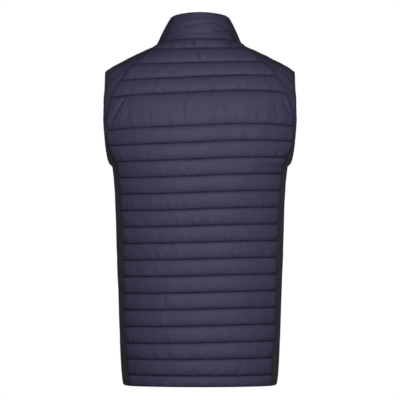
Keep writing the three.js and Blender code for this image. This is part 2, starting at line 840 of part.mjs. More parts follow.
function build() {
  const vest = new THREE.Group();
  const add = (name, geometry, look) => {
    const mesh = new THREE.Mesh(geometry, finish(look));
    mesh.name = name;
    vest.add(mesh);
  };
  const sides = [
    [LEFT, "left"],
    [RIGHT, "right"],
  ];
  const backPiece = back();
  const fronts = Object.fromEntries(sides.map(([side]) => [side, front(side)]));
  const shoulders = Object.fromEntries(sides.map(([side]) => [side, shoulder(side)]));
  const collarPiece = collar(neckSeam(backPiece.grid, fronts, shoulders));
  add("back", backPiece.geometry, "shell");
  add("collar", collarPiece.geometry, "yoke");
  let end;
  for (const [side, word] of sides) {
    add(`front_${word}`, fronts[side].geometry, "shell");
    add(`shoulder_${word}`, shoulders[side].geometry, "yoke");
    add(`side_${word}`, sidePanel(side), "stretch");
    add(`armhole_binding_${word}`, binding(side), "trim");
    const route = tapeRoute(side, fronts, collarPiece.grid);
    add(`zip_tape_${word}`, tape(side, route), "tape");
    end = { foot: route[0][0].point, top: route[route.length - 1][0].point };
  }
  const plateFace = end.top.y - CHAIN.proud - SLIDER.clear - SLIDER.plate;
  const pivot = { y: plateFace - ARCH.bore, z: end.top.z - SLIDER.tall / 2 };
  add("zip_slider", slider(end.top, pivot), "hardware");
  add("zip_pull_tab", pullTab(pivot), "hardware");
  add("zip_box", pushedAcross(clip(BOX, end.foot, -1), BOX.width), "hardware");
  return vest;
}

export default build();
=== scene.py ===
# %% [markdown]
# # A quilted vest, seen from behind
#
# The vest is made of padded panels, plain panels, a collar, bindings and a zip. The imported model
# gives their sizes and places, and this lesson dresses each of them: cloth with its puckers and
# creases, thread along every seam, and the teeth of the zip.
#
# Lengths in the tables are in millimetres, as on a maker's pattern, and `MM` turns them into
# Blender's metres. +Z is up, the front faces -Y and the wearer's left is +X.

import math

import bpy
import numpy as np
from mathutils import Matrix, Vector


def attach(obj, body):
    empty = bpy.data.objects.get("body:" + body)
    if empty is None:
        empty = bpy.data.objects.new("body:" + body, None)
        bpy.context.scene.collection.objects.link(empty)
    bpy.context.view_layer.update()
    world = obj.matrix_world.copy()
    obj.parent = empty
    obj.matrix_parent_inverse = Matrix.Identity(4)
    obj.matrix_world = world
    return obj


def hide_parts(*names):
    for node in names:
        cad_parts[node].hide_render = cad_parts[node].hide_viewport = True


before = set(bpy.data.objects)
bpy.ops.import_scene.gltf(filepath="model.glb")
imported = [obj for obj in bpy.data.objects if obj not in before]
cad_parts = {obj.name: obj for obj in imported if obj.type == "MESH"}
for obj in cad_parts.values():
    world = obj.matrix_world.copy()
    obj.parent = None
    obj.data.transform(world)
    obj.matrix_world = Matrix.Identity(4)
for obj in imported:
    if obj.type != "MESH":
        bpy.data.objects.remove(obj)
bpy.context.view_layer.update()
MM = 0.001
print("nodes:", ", ".join(sorted(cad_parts)))

# %% [markdown]
# ## The camera
#
# The photograph is level and square, taken from straight behind at a distance long enough that
# the shoulders and the hem keep one scale. A long lens six metres away does the same. One pixel of
# the 400 pixel frame is 2.08 mm on the vest.

# %% Camera
CAMERA_PLACE = (-0.0001, 6.0, -0.3234)
CAMERA_SPREAD = 0.832  # metres that the frame takes in at the middle of the vest
SENSOR = 36.0

camera_data = bpy.data.cameras.new("camera")
camera_data.sensor_width = SENSOR
camera_data.lens = SENSOR * CAMERA_PLACE[1] / CAMERA_SPREAD
camera = bpy.data.objects.new("camera", camera_data)
camera.location = CAMERA_PLACE
camera.rotation_euler = (math.radians(90), 0, math.radians(180))
bpy.context.collection.objects.link(camera)
bpy.context.scene.camera = camera
print("lens:", round(camera_data.lens, 1), "mm")

# %% [markdown]
# ## The studio
#
# The vest hangs in soft light on white. A wide lamp behind it, level with the chest, lights the
# back, so the shoulder blades are the brightest part and the cloth grows darker down to the hem.
# A weak lamp from each side keeps the edges readable. One more lights the front for the other
# views and leaves no glints over the shoulders. The floor lies where the wearer would stand, well
# under the frame, and its paint glows a little so that it looks pale from every side.

# %% Light and floor
FLOOR_HEIGHT, FLOOR_SIZE, FLOOR_GLOW = -1.5, 12, 0.62
ROOM_LIGHT = 0.13  # what the white room adds to the lamps
LAMPS = [
    # name, place, aims at, width, height, watts
    ("key_lamp", (-0.05, 1.35, -0.04), (0, 0, -0.13), 1.3, 1.2, 18.5),
    ("low_lamp", (-1.1, 1.1, -0.85), (-0.1, 0, -0.55), 0.8, 0.8, 1.2),
    ("front_lamp", (0.05, -1.4, -0.1), (0, 0, -0.16), 0.9, 0.9, 17),
    ("left_lamp", (2.4, -0.6, 0.1), (0, 0, -0.3), 1.4, 1.4, 2.8),
    ("right_lamp", (-2.4, -0.6, 0.1), (0, 0, -0.3), 1.4, 1.4, 3.4),
]

def aimed(place, target):
    return (Vector(target) - Vector(place)).to_track_quat("-Z", "Y").to_euler()

for name, place, target, wide, tall, watts in LAMPS:
    lamp_data = bpy.data.lights.new(name, "AREA")
    lamp_data.shape = "RECTANGLE"
    lamp_data.size, lamp_data.size_y = wide, tall
    lamp_data.energy = watts
    lamp = bpy.data.objects.new(name, lamp_data)
    lamp.location = place
    lamp.rotation_euler = aimed(place, target)
    lamp.visible_camera = False
    lamp.visible_glossy = name != "front_lamp"  # no glints over the shoulders from behind
    bpy.context.collection.objects.link(lamp)

world = bpy.data.worlds.new("white_room")
bpy.context.scene.world = world
world.use_nodes = True
world.cycles_visibility.glossy = False
nodes, links = world.node_tree.nodes, world.node_tree.links
lit, shown = nodes["Background"], nodes.new("ShaderNodeBackground")
for backdrop, strength in ((lit, ROOM_LIGHT), (shown, 1.0)):
    backdrop.inputs["Color"].default_value = (1, 1, 1, 1)
    backdrop.inputs["Strength"].default_value = strength
path = nodes.new("ShaderNodeLightPath")
blend = nodes.new("ShaderNodeMixShader")
links.new(path.outputs["Is Camera Ray"], blend.inputs[0])
links.new(lit.outputs[0], blend.inputs[1])
links.new(shown.outputs[0], blend.inputs[2])
links.new(blend.outputs[0], nodes["World Output"].inputs["Surface"])

bpy.context.scene.view_settings.view_transform = "Standard"

bpy.ops.mesh.primitive_plane_add(size=FLOOR_SIZE, location=(0, 0, FLOOR_HEIGHT))
floor = bpy.context.object
floor.name = "floor"
floor_paint = bpy.data.materials.new("pale_floor_paint")
floor_paint.use_nodes = True
paint = floor_paint.node_tree.nodes["Principled BSDF"]
paint.inputs["Base Color"].default_value = (0.9, 0.9, 0.9, 1)
paint.inputs["Roughness"].default_value = 0.9
paint.inputs["Emission Color"].default_value = (1, 1, 1, 1)
paint.inputs["Emission Strength"].default_value = FLOOR_GLOW
floor.data.materials.append(floor_paint)
floor.visible_diffuse = floor.visible_glossy = False  # its glow lights nothing
print("floor at", FLOOR_HEIGHT, "m")

# %% [markdown]
# ## The figure under the cloth
#
# Every panel lies on one smooth surface: a ring round the body at each height. A short table
# holds half its width, how far it reaches back and forward, where it is widest and how square it
# is. A curve that never overshoots joins the rows, as a maker's curved rule would.

# %% Tables of the figure
FIGURE = np.array([
    # height, half, back, front, middle, square
    (-705, 157.6, 124.0, -125.0, -3, 2.3),
    (-690, 159.8, 123.4, -124.6, -3, 2.3),
    (-669, 161.6, 122.6, -124.0, -3, 2.3),
    (-519, 167.4, 112.5, -118.0, -3, 2.3),
    (-444, 170.3, 111.0, -119.0, -3, 2.3),
    (-307, 174.8, 118.5, -128.0, -3, 2.4),
    (-262, 178.9, 121.8, -130.0, -3, 2.4),
    (-252, 180.6, 122.2, -130.0, -2.9, 2.4),
    (-247, 185.4, 122.4, -129.9, -2.7, 2.41),
    (-240, 189.6, 122.6, -129.7, -2.4, 2.43),
    (-232, 192.8, 122.7, -129.5, -2, 2.45),
    (-207, 200.1, 122.5, -128.0, -1, 2.5),
    (-150, 209.6, 118.2, -118.0, 0, 2.5),
    (-120, 210.0, 113.0, -109.5, 0, 2.5),
    (-95, 206.0, 106.8, -101.0, -1, 2.5),
    (-59, 194.0, 94.5, -86.5, -3, 2.4),
    (-34, 153.2, 84.8, -75.0, -4, 2.3),
    (-9, 100.9, 74.2, -61.7, -4.9, 2.2),
    (-1, 81.2, 70.8, -57.5, -5, 2.2),
    (12, 59.5, 65.3, -51.0, -5, 2.2),
])
SEAM = np.array([
    # height, and the long seams' depth as a share of the back's and of the front's
    (-705, 0.465, 0.45),
    (-665, 0.49, 0.46),
    (-618, 0.457, 0.44),
    (-530, 0.438, 0.42),
    (-377, 0.46, 0.43),
    (-276, 0.44, 0.42),
    (-232, 0.495, 0.46),
    (-205, 0.448, 0.445),
    (-180, 0.491, 0.509),
    (-161, 0.511, 0.544),
    (-136, 0.569, 0.582),
    (-120, 0.594, 0.606),
    (-80, 0.685, 0.665),
    (-61, 0.718, 0.69),
    (-45, 0.71, 0.68),
    (-22, 0.59, 0.56),
    (-1, 0.24, 0.3),
])
LINES = np.array([
    # line, height, tilt, droop, turn round the armhole
    (0, -705.0, 0, 3, 180),
    (1, -681.9, 0, 2, 180),
    (3, -615.0, 2.5, 2, 180),
    (9, -409.6, 3.1, 1, 180),
    (13, -273.3, 4.2, 0, 180),
    (15, -204.7, 4.7, 1.7, 123),
    (16, -170.5, 4.5, 3.6, 104),
    (17, -137.0, 4.5, 4, 87),
    (18, -103.0, 4.5, 4.8, 66),
    (19, -71.8, 4.5, 3.1, 46),
    (20, -42.6, 2.4, 0, 31),
    (21, -13.5, 2.1, 0, 18),
    (22, -1.0, 1, 0, 8),
])
LINE_REACH = 170
SIDE_TOP = 15
NECK = 22
BACK, FRONT = 1, -1
LEFT, RIGHT = 1, -1

# %% Curves through a table
def curve(table, column):
    at, value = table[:, 0], table[:, column]
    run = np.diff(at)
    rise = np.diff(value) / run
    slope = np.concatenate([rise[:1], np.zeros(len(rise) - 1), rise[-1:]])
    for i in range(1, len(rise)):
        if rise[i - 1] * rise[i] > 0:
            before, after = 2 * run[i] + run[i - 1], run[i] + 2 * run[i - 1]
            slope[i] = (before + after) / (before / rise[i - 1] + after / rise[i])

    def place(height):
        h = np.clip(height, at[0], at[-1])
        low = np.clip(np.searchsorted(at, h) - 1, 0, len(at) - 2)
        t = (h - at[low]) / run[low]
        s = 1 - t
        return (
            value[low] * s * s * (1 + 2 * t)
            + slope[low] * run[low] * s * s * t
            + value[low + 1] * t * t * (3 - 2 * t)
            - slope[low + 1] * run[low] * t * t * s
        )

    return place

half_width, back_reach, front_reach, ring_middle, ring_square = (
    curve(FIGURE, column) for column in range(1, 6)
)
seam_share = {BACK: curve(SEAM, 1), FRONT: curve(SEAM, 2)}
print("half width at the chest:", round(float(half_width(-207)), 1), "mm")

# %% Points on the surface
def ring_depth(height, face):
    reach = np.where(face == BACK, back_reach(height), front_reach(height))
    return np.abs(reach - ring_middle(height))

def on_ring(angle, height):
    angle, height = np.broadcast_arrays(np.asarray(angle, float), np.asarray(height, float))
    square = ring_square(height)
    across = np.abs(np.sin(angle) / half_width(height)) ** square
    face = np.where(np.cos(angle) >= 0, BACK, FRONT)
    along = np.abs(np.cos(angle) / ring_depth(height, face)) ** square
    reach = (across + along) ** (-1 / square)
    return np.stack(
        [reach * np.sin(angle), ring_middle(height) + reach * np.cos(angle), height], -1
    )

def unit(vectors):
    return vectors / np.maximum(np.linalg.norm(vectors, axis=-1, keepdims=True), 1e-12)

def outward(angle, height, turn=0.0005, step=0.05):
    around = on_ring(angle + turn, height) - on_ring(angle - turn, height)
    up = on_ring(angle, height + step) - on_ring(angle, height - step)
    return unit(np.cross(up, around))

def angle_at_depth(along, height, side):
    square = ring_square(height)
    most = ring_depth(height, np.where(np.asarray(along) >= 0, BACK, FRONT))
    inside = np.clip(1 - np.abs(along / most) ** square, 0, 1)
    return side * np.arctan2(half_width(height) * inside ** (1 / square), along)

def front_angle_at(across, height, side):
    square = ring_square(height)
    inside = np.clip(1 - (across / half_width(height)) ** square, 0, 1)
    along = ring_depth(height, FRONT) * inside ** (1 / square)
    return side * np.arctan2(across, -along)

def seam_angle(height, side, face):
    return angle_at_depth(face * seam_share[face](height) * ring_depth(height, face), height, side)

# %% [markdown]
# ## Lines across the body
#
# Quilting runs in even rows from the hem to the neck. On the real vest the rows are marked on the
# flat cloth, and on the body they tilt and droop a little. A row's height depends on how far
# across it is, and a point's place across depends on its height, so a few rounds settle both.

# %% Heights of the lines
BACK_NECK_RISE = 7.8
NECK_HALF = 86
NECK_ROUND = 2.4
FRONT_NECK_LINE = 19.5
FRONT_NECK_TOP = -6
FRONT_NECK_ROUND = 2.2
FRONT_NECK_TIP = 3
ZIP_EDGE = 5.5
SETTLE_ROUNDS = 8

def line_level(line):
    return np.interp(line, LINES[:, 0], LINES[:, 1])

def line_height(line, across, face):
    s = across / LINE_REACH
    tilt = np.interp(line, LINES[:, 0], LINES[:, 2]) * s * (2 - np.abs(s))
    droop = np.interp(line, LINES[:, 0], LINES[:, 3]) * s**4
    over = np.maximum(line - (NECK - 1), 0)
    rise = BACK_NECK_RISE * (1 - np.minimum(np.abs(across / NECK_HALF), 1) ** NECK_ROUND)
    fall = FRONT_NECK_TOP - LINES[-1, 1]
    return line_level(line) - tilt - droop + over * (rise if face == BACK else fall)

def settled(line, face, angle_at):
    height = line_height(line, 0.0, face)
    for _ in range(SETTLE_ROUNDS):
        height = line_height(line, on_ring(angle_at(height), height)[..., 0], face)
    return angle_at(height), height

def seam_place(line, side, face):
    return settled(line, face, lambda height: seam_angle(height, side, face))

front_neck_corner = on_ring(seam_angle(FRONT_NECK_TOP, LEFT, FRONT), FRONT_NECK_TOP)[0]

def front_neck_angle(height, side):
    foot = line_height(FRONT_NECK_LINE, side * ZIP_EDGE, FRONT)
    up = np.clip((height - foot) / (FRONT_NECK_TOP - foot), 0, 1)
    corner = front_neck_corner - FRONT_NECK_TIP
    across = ZIP_EDGE + (corner - ZIP_EDGE) * up ** (1 / FRONT_NECK_ROUND)
    return front_angle_at(across, height, side)

print("channels:", NECK - 1, "of about", round(float(line_level(4) - line_level(3)), 1), "mm")

# %% [markdown]
# ## Cloth from a grid of points
#
# A panel is two faces of cloth with an edge turned in all round. The outer face has many points
# so that it can carry puckers. The inner face is plain and needs fewer. The edges of both are
# joined point by point, which closes the panel.
#
# Every panel also gets a map in metres across and up the cloth, so that the weave in its material
# keeps its scale and follows the panel wherever it bends.

# %% Panels
HALF_SEAM = 0.08  # half the gap between two pieces
PAINTED_SHADE_REACH = 1.5  # how far from a seam or a stitch line the painted shade reaches
outer_faces = {}  # the outer grid of each panel, for the sewing

def run_along(points, axis):
    step = np.linalg.norm(np.diff(points, axis=axis), axis=-1)
    pad = [(0, 0), (0, 0)]
    pad[axis] = (1, 0)
    return np.cumsum(np.pad(step, pad), axis=axis)

def stitched_edges(outer_edge, inner_edge):
    faces = []
    i = j = 0
    while i < len(outer_edge) - 1 or j < len(inner_edge) - 1:
        outer_next = outer_edge[i + 1][0] if i < len(outer_edge) - 1 else np.inf
        inner_next = inner_edge[j + 1][0] if j < len(inner_edge) - 1 else np.inf
        if outer_next <= inner_next:
            faces.append((outer_edge[i + 1][1], outer_edge[i][1], inner_edge[j][1]))
            i += 1
        else:
            faces.append((outer_edge[i][1], inner_edge[j][1], inner_edge[j + 1][1]))
            j += 1
    return faces

def grid_faces(ids, flipped=False):
    a, b, c, d = ids[:-1, :-1], ids[:-1, 1:], ids[1:, 1:], ids[1:, :-1]
    corners = (a, d, c, b) if flipped else (a, b, c, d)
    return np.stack([x.ravel() for x in corners], -1)

def cloth_map(base):
    across = run_along(base, 1)
    across = across - across[:, -1:] / 2
    up = run_along(base, 0)
    return np.stack([across, up], -1) * MM

def new_piece(name, points, faces, material, face_map, painted_shade=None, smooth_under=55):
    """A piece from points in millimetres, turned outwards, with its map and its painted shade."""
    points = np.asarray(points)
    if volume_of(points, faces) < 0:
        faces = [face[::-1] for face in faces]
    mesh = bpy.data.meshes.new(name)
    mesh.from_pydata((points * MM).tolist(), [], [list(map(int, face)) for face in faces])
    layer = mesh.uv_layers.new(name="cloth")
    corner_points = np.zeros(len(mesh.loops), int)
    mesh.loops.foreach_get("vertex_index", corner_points)
    layer.data.foreach_set("uv", np.asarray(face_map)[corner_points].ravel())
    mesh.validate()
    mesh.materials.append(material)
    # painted shade: a share for each point, by which the material darkens the cloth's colour
    if painted_shade is not None:
        layer = mesh.attributes.new("painted_shade", "FLOAT", "POINT")
        layer.data.foreach_set("value", np.asarray(painted_shade, float))
    mesh.shade_smooth()
    mesh.set_sharp_from_angle(angle=math.radians(smooth_under))
    piece = bpy.data.objects.new(name, mesh)
    bpy.context.collection.objects.link(piece)
    return piece

def volume_of(points, faces):
    total = 0.0
    for face in faces:
        a = points[face[0]]
        for k in range(1, len(face) - 1):
            total += float(np.dot(a, np.cross(points[face[k]], points[face[k + 1]])))
    return total / 6

def from_edges(base):
    """How far each point of a grid is from the nearest edge of its panel."""
    across, up = run_along(base, 1), run_along(base, 0)
    return np.minimum(
        np.minimum(across, across[:, -1:] - across), np.minimum(up, up[-1:] - up)
    )

def panel(name, base, normal, thick, material, inner_rows, inner_columns, shade=0):
    """A closed panel: base is the inner face, thick how far the outer face stands off it."""
    base = base.copy()
    base[0] += unit(base[1] - base[0]) * HALF_SEAM
    base[-1] += unit(base[-2] - base[-1]) * HALF_SEAM
    base[:, 0] += unit(base[:, 1] - base[:, 0]) * HALF_SEAM
    base[:, -1] += unit(base[:, -2] - base[:, -1]) * HALF_SEAM
    rows, columns = base.shape[:2]
    outer = base + normal * thick[..., None]
    inner = base[np.ix_(inner_rows, inner_columns)]
    outer_ids = np.arange(rows * columns).reshape(rows, columns)
    inner_ids = rows * columns + np.arange(inner[..., 0].size).reshape(inner.shape[:2])
    faces = np.concatenate([grid_faces(outer_ids), grid_faces(inner_ids, flipped=True)]).tolist()
    sides = [
        (outer_ids[0], inner_columns, inner_ids[0], 1),
        (outer_ids[:, -1], inner_rows, inner_ids[:, -1], 1),
        (outer_ids[-1], inner_columns, inner_ids[-1], -1),
        (outer_ids[:, 0], inner_rows, inner_ids[:, 0], -1),
    ]
    for outer_edge, steps, inner_edge, way in sides:
        outer_run = [(way * at, index) for at, index in enumerate(outer_edge)][::way]
        inner_run = [(way * at, index) for at, index in zip(steps, inner_edge)][::way]
        faces += stitched_edges(outer_run, inner_run)
    points = np.concatenate([outer.reshape(-1, 3), inner.reshape(-1, 3)])
    flat = cloth_map(base)
    inner_flat = flat[np.ix_(inner_rows, inner_columns)]
    face_map = np.concatenate([flat.reshape(-1, 2), inner_flat.reshape(-1, 2)])
    # painted shade: the cloth darkens towards every edge, where it is sewn to its neighbours and
    # gets less light
    shade = np.maximum(shade, np.exp(-((from_edges(base) / PAINTED_SHADE_REACH) ** 2)))
    painted_shade = np.concatenate([shade.ravel(), np.zeros(inner_ids.size)])
    piece = new_piece(name, points, faces, material, face_map, painted_shade)
    outer_faces[name] = outer
    print(name, "triangles:", sum(len(face) - 2 for face in faces))
    return piece

def kept(count, every):
    return sorted(set(range(0, count, every)) | {count - 1})

# %% [markdown]
# ## Cloth and thread
#
# The shell is a thin navy nylon with a satin sheen. Its weave is too fine to see from the camera,
# but it breaks up the highlights, so it is there as a shallow bump of crossed yarns. The colour
# drifts a little, and each dye lot has its own tone: the shoulders and collar are a shade duller.
# The side panels are a charcoal stretch knit with rows of small ribs.

# %% Materials
DARKEST_PAINTED_SHADE = 0.52  # share of its colour that cloth keeps under the darkest painted shade, in grooves, seams and creases
CLOTH_DRIFT = 14.0  # how quickly the colour of cloth drifts
WEAVE_SHADE, WEAVE_BUMP = 0.22, 0.5
SHEEN_ROUGH, SHEEN_TINT = 0.45, (0.75, 0.78, 1.0, 1)

def put(tree, made, **inputs):
    """Sets inputs of a node, or links them where another node's output is given."""
    for key, value in inputs.items():
        socket = made.inputs[key.replace("_", " ")]
        if isinstance(value, bpy.types.NodeSocket):
            tree.links.new(value, socket)
        else:
            socket.default_value = value
    return made

def node(tree, kind, settings=(), **inputs):
    made = tree.nodes.new(kind)
    for key, value in dict(settings).items():
        setattr(made, key, value)
    return put(tree, made, **inputs)

def mixed(tree, first, second, share, way="MIX"):
    """Two colours mixed. Each colour and the share may come from another node."""
    mix = tree.nodes.new("ShaderNodeMix")
    mix.data_type, mix.blend_type = "RGBA", way
    a, b = [socket for socket in mix.inputs if socket.type == "RGBA"]
    for socket, value in ((a, first), (b, second), (mix.inputs["Factor"], share)):
        if isinstance(value, bpy.types.NodeSocket):
            tree.links.new(value, socket)
        else:
            socket.default_value = value if socket.type == "VALUE" else (*value, 1)
    return next(socket for socket in mix.outputs if socket.type == "RGBA")

def noise(tree, **inputs):
    """Soft noise that keeps its place on the piece."""
    place = node(tree, "ShaderNodeTexCoord").outputs["Object"]
    return node(tree, "ShaderNodeTexNoise", Vector=place, **inputs).outputs["Fac"]

def bumped(tree, shader, height, strength, distance):
    bump = node(tree, "ShaderNodeBump", Strength=strength, Distance=distance, Height=height)
    put(tree, shader, Normal=bump.outputs["Normal"])

def new_material(name, rough):
    material = bpy.data.materials.new(name)
    material.use_nodes = True
    tree = material.node_tree
    return material, tree, put(tree, tree.nodes["Principled BSDF"], Roughness=rough)

def cloth_material(name, colour, dark, rough, sheen, weave, depth, shine=0.12, knit=False):
    material, tree, shader = new_material(name, rough)
    put(
        tree, shader, Base_Color=(*colour, 1), Specular_IOR_Level=shine,
        Sheen_Weight=sheen, Sheen_Roughness=SHEEN_ROUGH, Sheen_Tint=SHEEN_TINT,
    )
    where = node(tree, "ShaderNodeUVMap", {"uv_map": "cloth"}).outputs["UV"]
    crossed = node(tree, "ShaderNodeMath", {"operation": "MAXIMUM"})
    for yarn, turn in enumerate((0, 90)):
        stretch = 0.5 if knit and turn else 1
        turned = node(
            tree, "ShaderNodeMapping", Vector=where, Rotation=(0, 0, math.radians(turn)),
            Scale=(stretch, stretch, 1),
        )
        wave = node(
            tree, "ShaderNodeTexWave", Vector=turned.outputs["Vector"], Scale=weave,
            Distortion=0.6, Detail=1.0, Detail_Scale=2.0,
        )
        tree.links.new(wave.outputs["Fac"], crossed.inputs[yarn])
    woven = crossed.outputs["Value"]
    bumped(tree, shader, woven, WEAVE_BUMP, depth)
    drifting = mixed(tree, dark, colour, noise(tree, Scale=CLOTH_DRIFT, Detail=3.0, Roughness=0.6))
    shaded = mixed(tree, drifting, woven, WEAVE_SHADE, "MULTIPLY")
    # painted shade: the colour darkens by each point's share of painted shade, towards a darker
    # copy of the cloth's colour
    painted_shade_share = node(tree, "ShaderNodeAttribute", {"attribute_name": "painted_shade"}).outputs["Fac"]
    painted_shade_colour = [part * DARKEST_PAINTED_SHADE for part in dark]
    put(tree, shader, Base_Color=mixed(tree, shaded, painted_shade_colour, painted_shade_share))
    return material

def plain_material(name, colour, rough, grain):
    material, tree, shader = new_material(name, rough)
    speck = noise(tree, Scale=grain, Detail=2.0)
    darker, paler = [part * 0.8 for part in colour], [min(part * 1.15, 1) for part in colour]
    put(tree, shader, Base_Color=mixed(tree, darker, paler, speck))
    bumped(tree, shader, speck, 0.2, 0.0002)
    return material

shell_cloth = cloth_material(
    "shell_cloth", (0.056, 0.0525, 0.101), (0.049, 0.046, 0.090), 0.5, 0.03, 420, 0.00008
)
yoke_cloth = cloth_material(
    "yoke_cloth", (0.053, 0.0495, 0.096), (0.046, 0.0435, 0.085), 0.54, 0.02, 420, 0.00008
)
stretch_knit = cloth_material(
    "stretch_knit", (0.050, 0.046, 0.057), (0.040, 0.037, 0.046),
    0.8, 0.05, 160, 0.0002, 0.1, knit=True,
)
edge_binding = cloth_material(
    "edge_binding", (0.035, 0.035, 0.056), (0.028, 0.028, 0.046),
    0.75, 0.05, 200, 0.00015, 0.1, knit=True,
)
tape_weave = cloth_material(
    "tape_weave", (0.020, 0.019, 0.029), (0.016, 0.015, 0.023), 0.75, 0.05, 160, 0.0002, 0.1
)
sewing_thread = plain_material("sewing_thread", (0.020, 0.019, 0.038), 0.6, 900)
tooth_plastic = plain_material("tooth_plastic", (0.018, 0.018, 0.024), 0.35, 400)
zip_metal = plain_material("zip_metal", (0.022, 0.022, 0.025), 0.38, 500)
print("materials:", len(bpy.data.materials))

# %% [markdown]
# ## Puckers
#
# Thread pulls the padding down to a narrow groove. The channel between two grooves is nearly flat
# on top, and short puckers run out of the stitching on both sides. They differ in length, depth
# and spacing, so a seeded draw places the small ones, and a table places each crease that is
# large enough to see from a step away.
#
# A groove, a seam and the bottom of a crease get less light, and that shade is painted. Each
# point of the cloth holds a share of painted shade, and the cloth's colour darkens by that.

# %% Quilted relief
STITCHED = 0.8  # thickness at a stitch line
EDGE = 1.2  # thickness at the panel's edge
CROWN = 6.9  # how far the middle of a channel stands above its stitch lines
WIDE_FROM, WIDE_TO, WIDE_CROWN = 16, 18, 7.6
CROWN_FALL = 19  # channels flatten within this distance of a side seam
FOOT_ROUND = (2.4, 1.8)  # how flat and how full a channel is towards its lower stitch line
HEAD_ROUND = (3.0, 1.9)  # and towards its upper one
FOOT_SAG = 0.34  # how much the fullness at the foot varies along a row
SAG_WAVES = (11, 48)  # shortest and longest wave of that
FALL_ROUND = (2.1, 1.5)  # how flat and how full channels are towards a side seam
PUCKER_SEED = 7
WIDE_CALM = 0.45  # how much shallower puckers are in the wide channel
STITCH_LINES = [n for n in range(NECK + 1) if not WIDE_FROM < n < WIDE_TO]

def channel_of(line):
    low = np.floor(np.clip(line, 0, NECK - 1e-6))
    wide = (line >= WIDE_FROM) & (line < WIDE_TO)
    low = np.where(wide, WIDE_FROM, low)
    span = np.where(wide, WIDE_TO - WIDE_FROM, 1)
    return low, span, wide

def slow_waves(across, rng, shortest, longest, count=6):
    """Waves of mixed length along a row, about -1 to 1."""
    total = np.zeros_like(across)
    for _ in range(count):
        length, turn = rng.uniform(shortest, longest), rng.uniform(0, 2 * np.pi)
        total += np.sin(2 * np.pi * across / length + turn)
    return total / math.sqrt(count / 2) / 1.6

def channel_relief(line, across, seed):
    low, span, wide = channel_of(line)
    t = np.clip((line - low) / span, 0, 1)
    rng = np.random.default_rng(seed)
    sag = np.zeros_like(across)
    for n in range(NECK):
        sag = np.where(low == n, slow_waves(across, rng, *SAG_WAVES), sag)
    foot = np.minimum(t / (1 + FOOT_SAG * sag), 0.5)
    flat, full = FOOT_ROUND
    lower = (1 - (1 - 2 * foot) ** flat) ** (1 / full)
    flat, full = HEAD_ROUND
    upper = (1 - np.clip(2 * t - 1, 0, 1) ** flat) ** (1 / full)
    return np.where(t < 0.5, lower, upper) * np.where(wide, WIDE_CROWN, CROWN), low, span

def drawn_puckers(rng, width, gap, longest):
    """Places of small puckers along one stitch line: where, how deep, wide, long and leaning."""
    found = []
    at = -width / 2 + rng.uniform(0, gap)
    while at < width / 2:
        found.append((
            at,
            rng.choice([1, 1, 1, -0.6]) * rng.uniform(0.25, 1.0),
            rng.uniform(1.6, 4.2),
            rng.uniform(5, longest),
            rng.uniform(-0.45, 0.45),
        ))
        at += gap * rng.uniform(0.35, 1.7)
    return found

def pucker_relief(across, line, width, seed, gap=17, longest=26, deepest=0.85):
    """Troughs that run from each stitch line into the channels above and below it."""
    rng = np.random.default_rng(seed)
    relief = np.zeros_like(across)
    level = line_level(line)
    for n in STITCH_LINES:
        away = level - line_level(n)
        near = np.abs(away) < longest * 1.6
        for at, depth, wide, long, lean in drawn_puckers(rng, width, gap, longest):
            up_long = long * rng.uniform(0.5, 1.2)
            down_long = long * rng.uniform(0.4, 1.1)
            reach = np.where(away >= 0, up_long, down_long)
            spread = wide * (1 + np.abs(away) / long)
            shape = np.exp(-(((across - at - lean * away) / spread) ** 2))
            shape = shape * np.exp(-((away / reach) ** 2))
            relief -= np.where(near, deepest * depth * shape, 0)
    wide_share = np.clip((line - WIDE_FROM) / (WIDE_TO - WIDE_FROM), 0, 1)
    flatter = np.clip(np.minimum(wide_share, 1 - wide_share) / 0.1, 0, 1)
    return relief * (1 - WIDE_CALM * flatter)

def ripple_relief(across, line, seed, height=0.2):
    """Slow waves across each channel, different in every channel."""
    rng = np.random.default_rng(seed)
    relief = np.zeros_like(across)
    low, span, _ = channel_of(line)
    t = np.clip((line - low) / span, 0, 1)
    hold = np.sin(np.pi * t) ** 0.7
    for n in range(NECK):
        here = low == n
        for _ in range(7):
            length = rng.uniform(24, 85)
            turn, lean = rng.uniform(0, 2 * np.pi), rng.uniform(-9, 9)
            wave = np.sin(2 * np.pi * (across + lean * t) / length + turn)
            relief += np.where(here, height * wave * rng.uniform(0.3, 1.0), 0)
    return relief * hold * np.where(low == WIDE_FROM, 0.5, 1)

def crease_relief(points, creases):
    """Creases placed one by one: from x, z to x, z, depth, half width and how dark the bottom is.

    A minus depth is a ridge.
    """
    relief, shade = np.zeros(points.shape[:-1]), np.zeros(points.shape[:-1])
    flat = points[..., [0, 2]]
    for x0, z0, x1, z1, depth, wide, dark in creases:
        start, end = np.array([x0, z0]), np.array([x1, z1])
        length = np.linalg.norm(end - start)
        along = unit(end - start)
        t = (flat - start) @ along / length
        side = (flat - start) @ np.array([-along[1], along[0]])
        taper = np.clip(np.minimum(t, 1 - t) * 4 + 0.25, 0, 1) ** 1.5
        relief -= depth * np.exp(-((side / wide) ** 2)) * taper
        # painted shade along the bottom of each crease, as dark as its table gives
        shade = np.maximum(shade, dark * np.exp(-((side / (0.5 * wide)) ** 2)) * taper)
    return relief, shade

# %% [markdown]
# ## The back
#
# The back is cut in one piece from hem to neck and quilted right across. Its grid follows the
# stitch lines, with points crowded towards each of them, where the form turns fastest.

# %% Rows and columns of a quilted panel
ROW_STEPS = (0, 0.025, 0.06, 0.11, 0.18, 0.27, 0.38, 0.5, 0.62, 0.73, 0.82, 0.89, 0.94, 0.975)
BACK_COLUMNS = 280
FRONT_COLUMNS = 130
BACK_ROW, FRONT_ROW = 480, 260  # length of a stitch line that gets puckers
QUILT_ROWS = np.array([n + step for n in range(NECK) for step in ROW_STEPS] + [NECK], float)

def eased(count, crowd=0.35):
    """Shares from 0 to 1 that are closer together towards both ends."""
    t = np.linspace(0, 1, count)
    return t - crowd * np.sin(2 * np.pi * t) / (2 * np.pi)

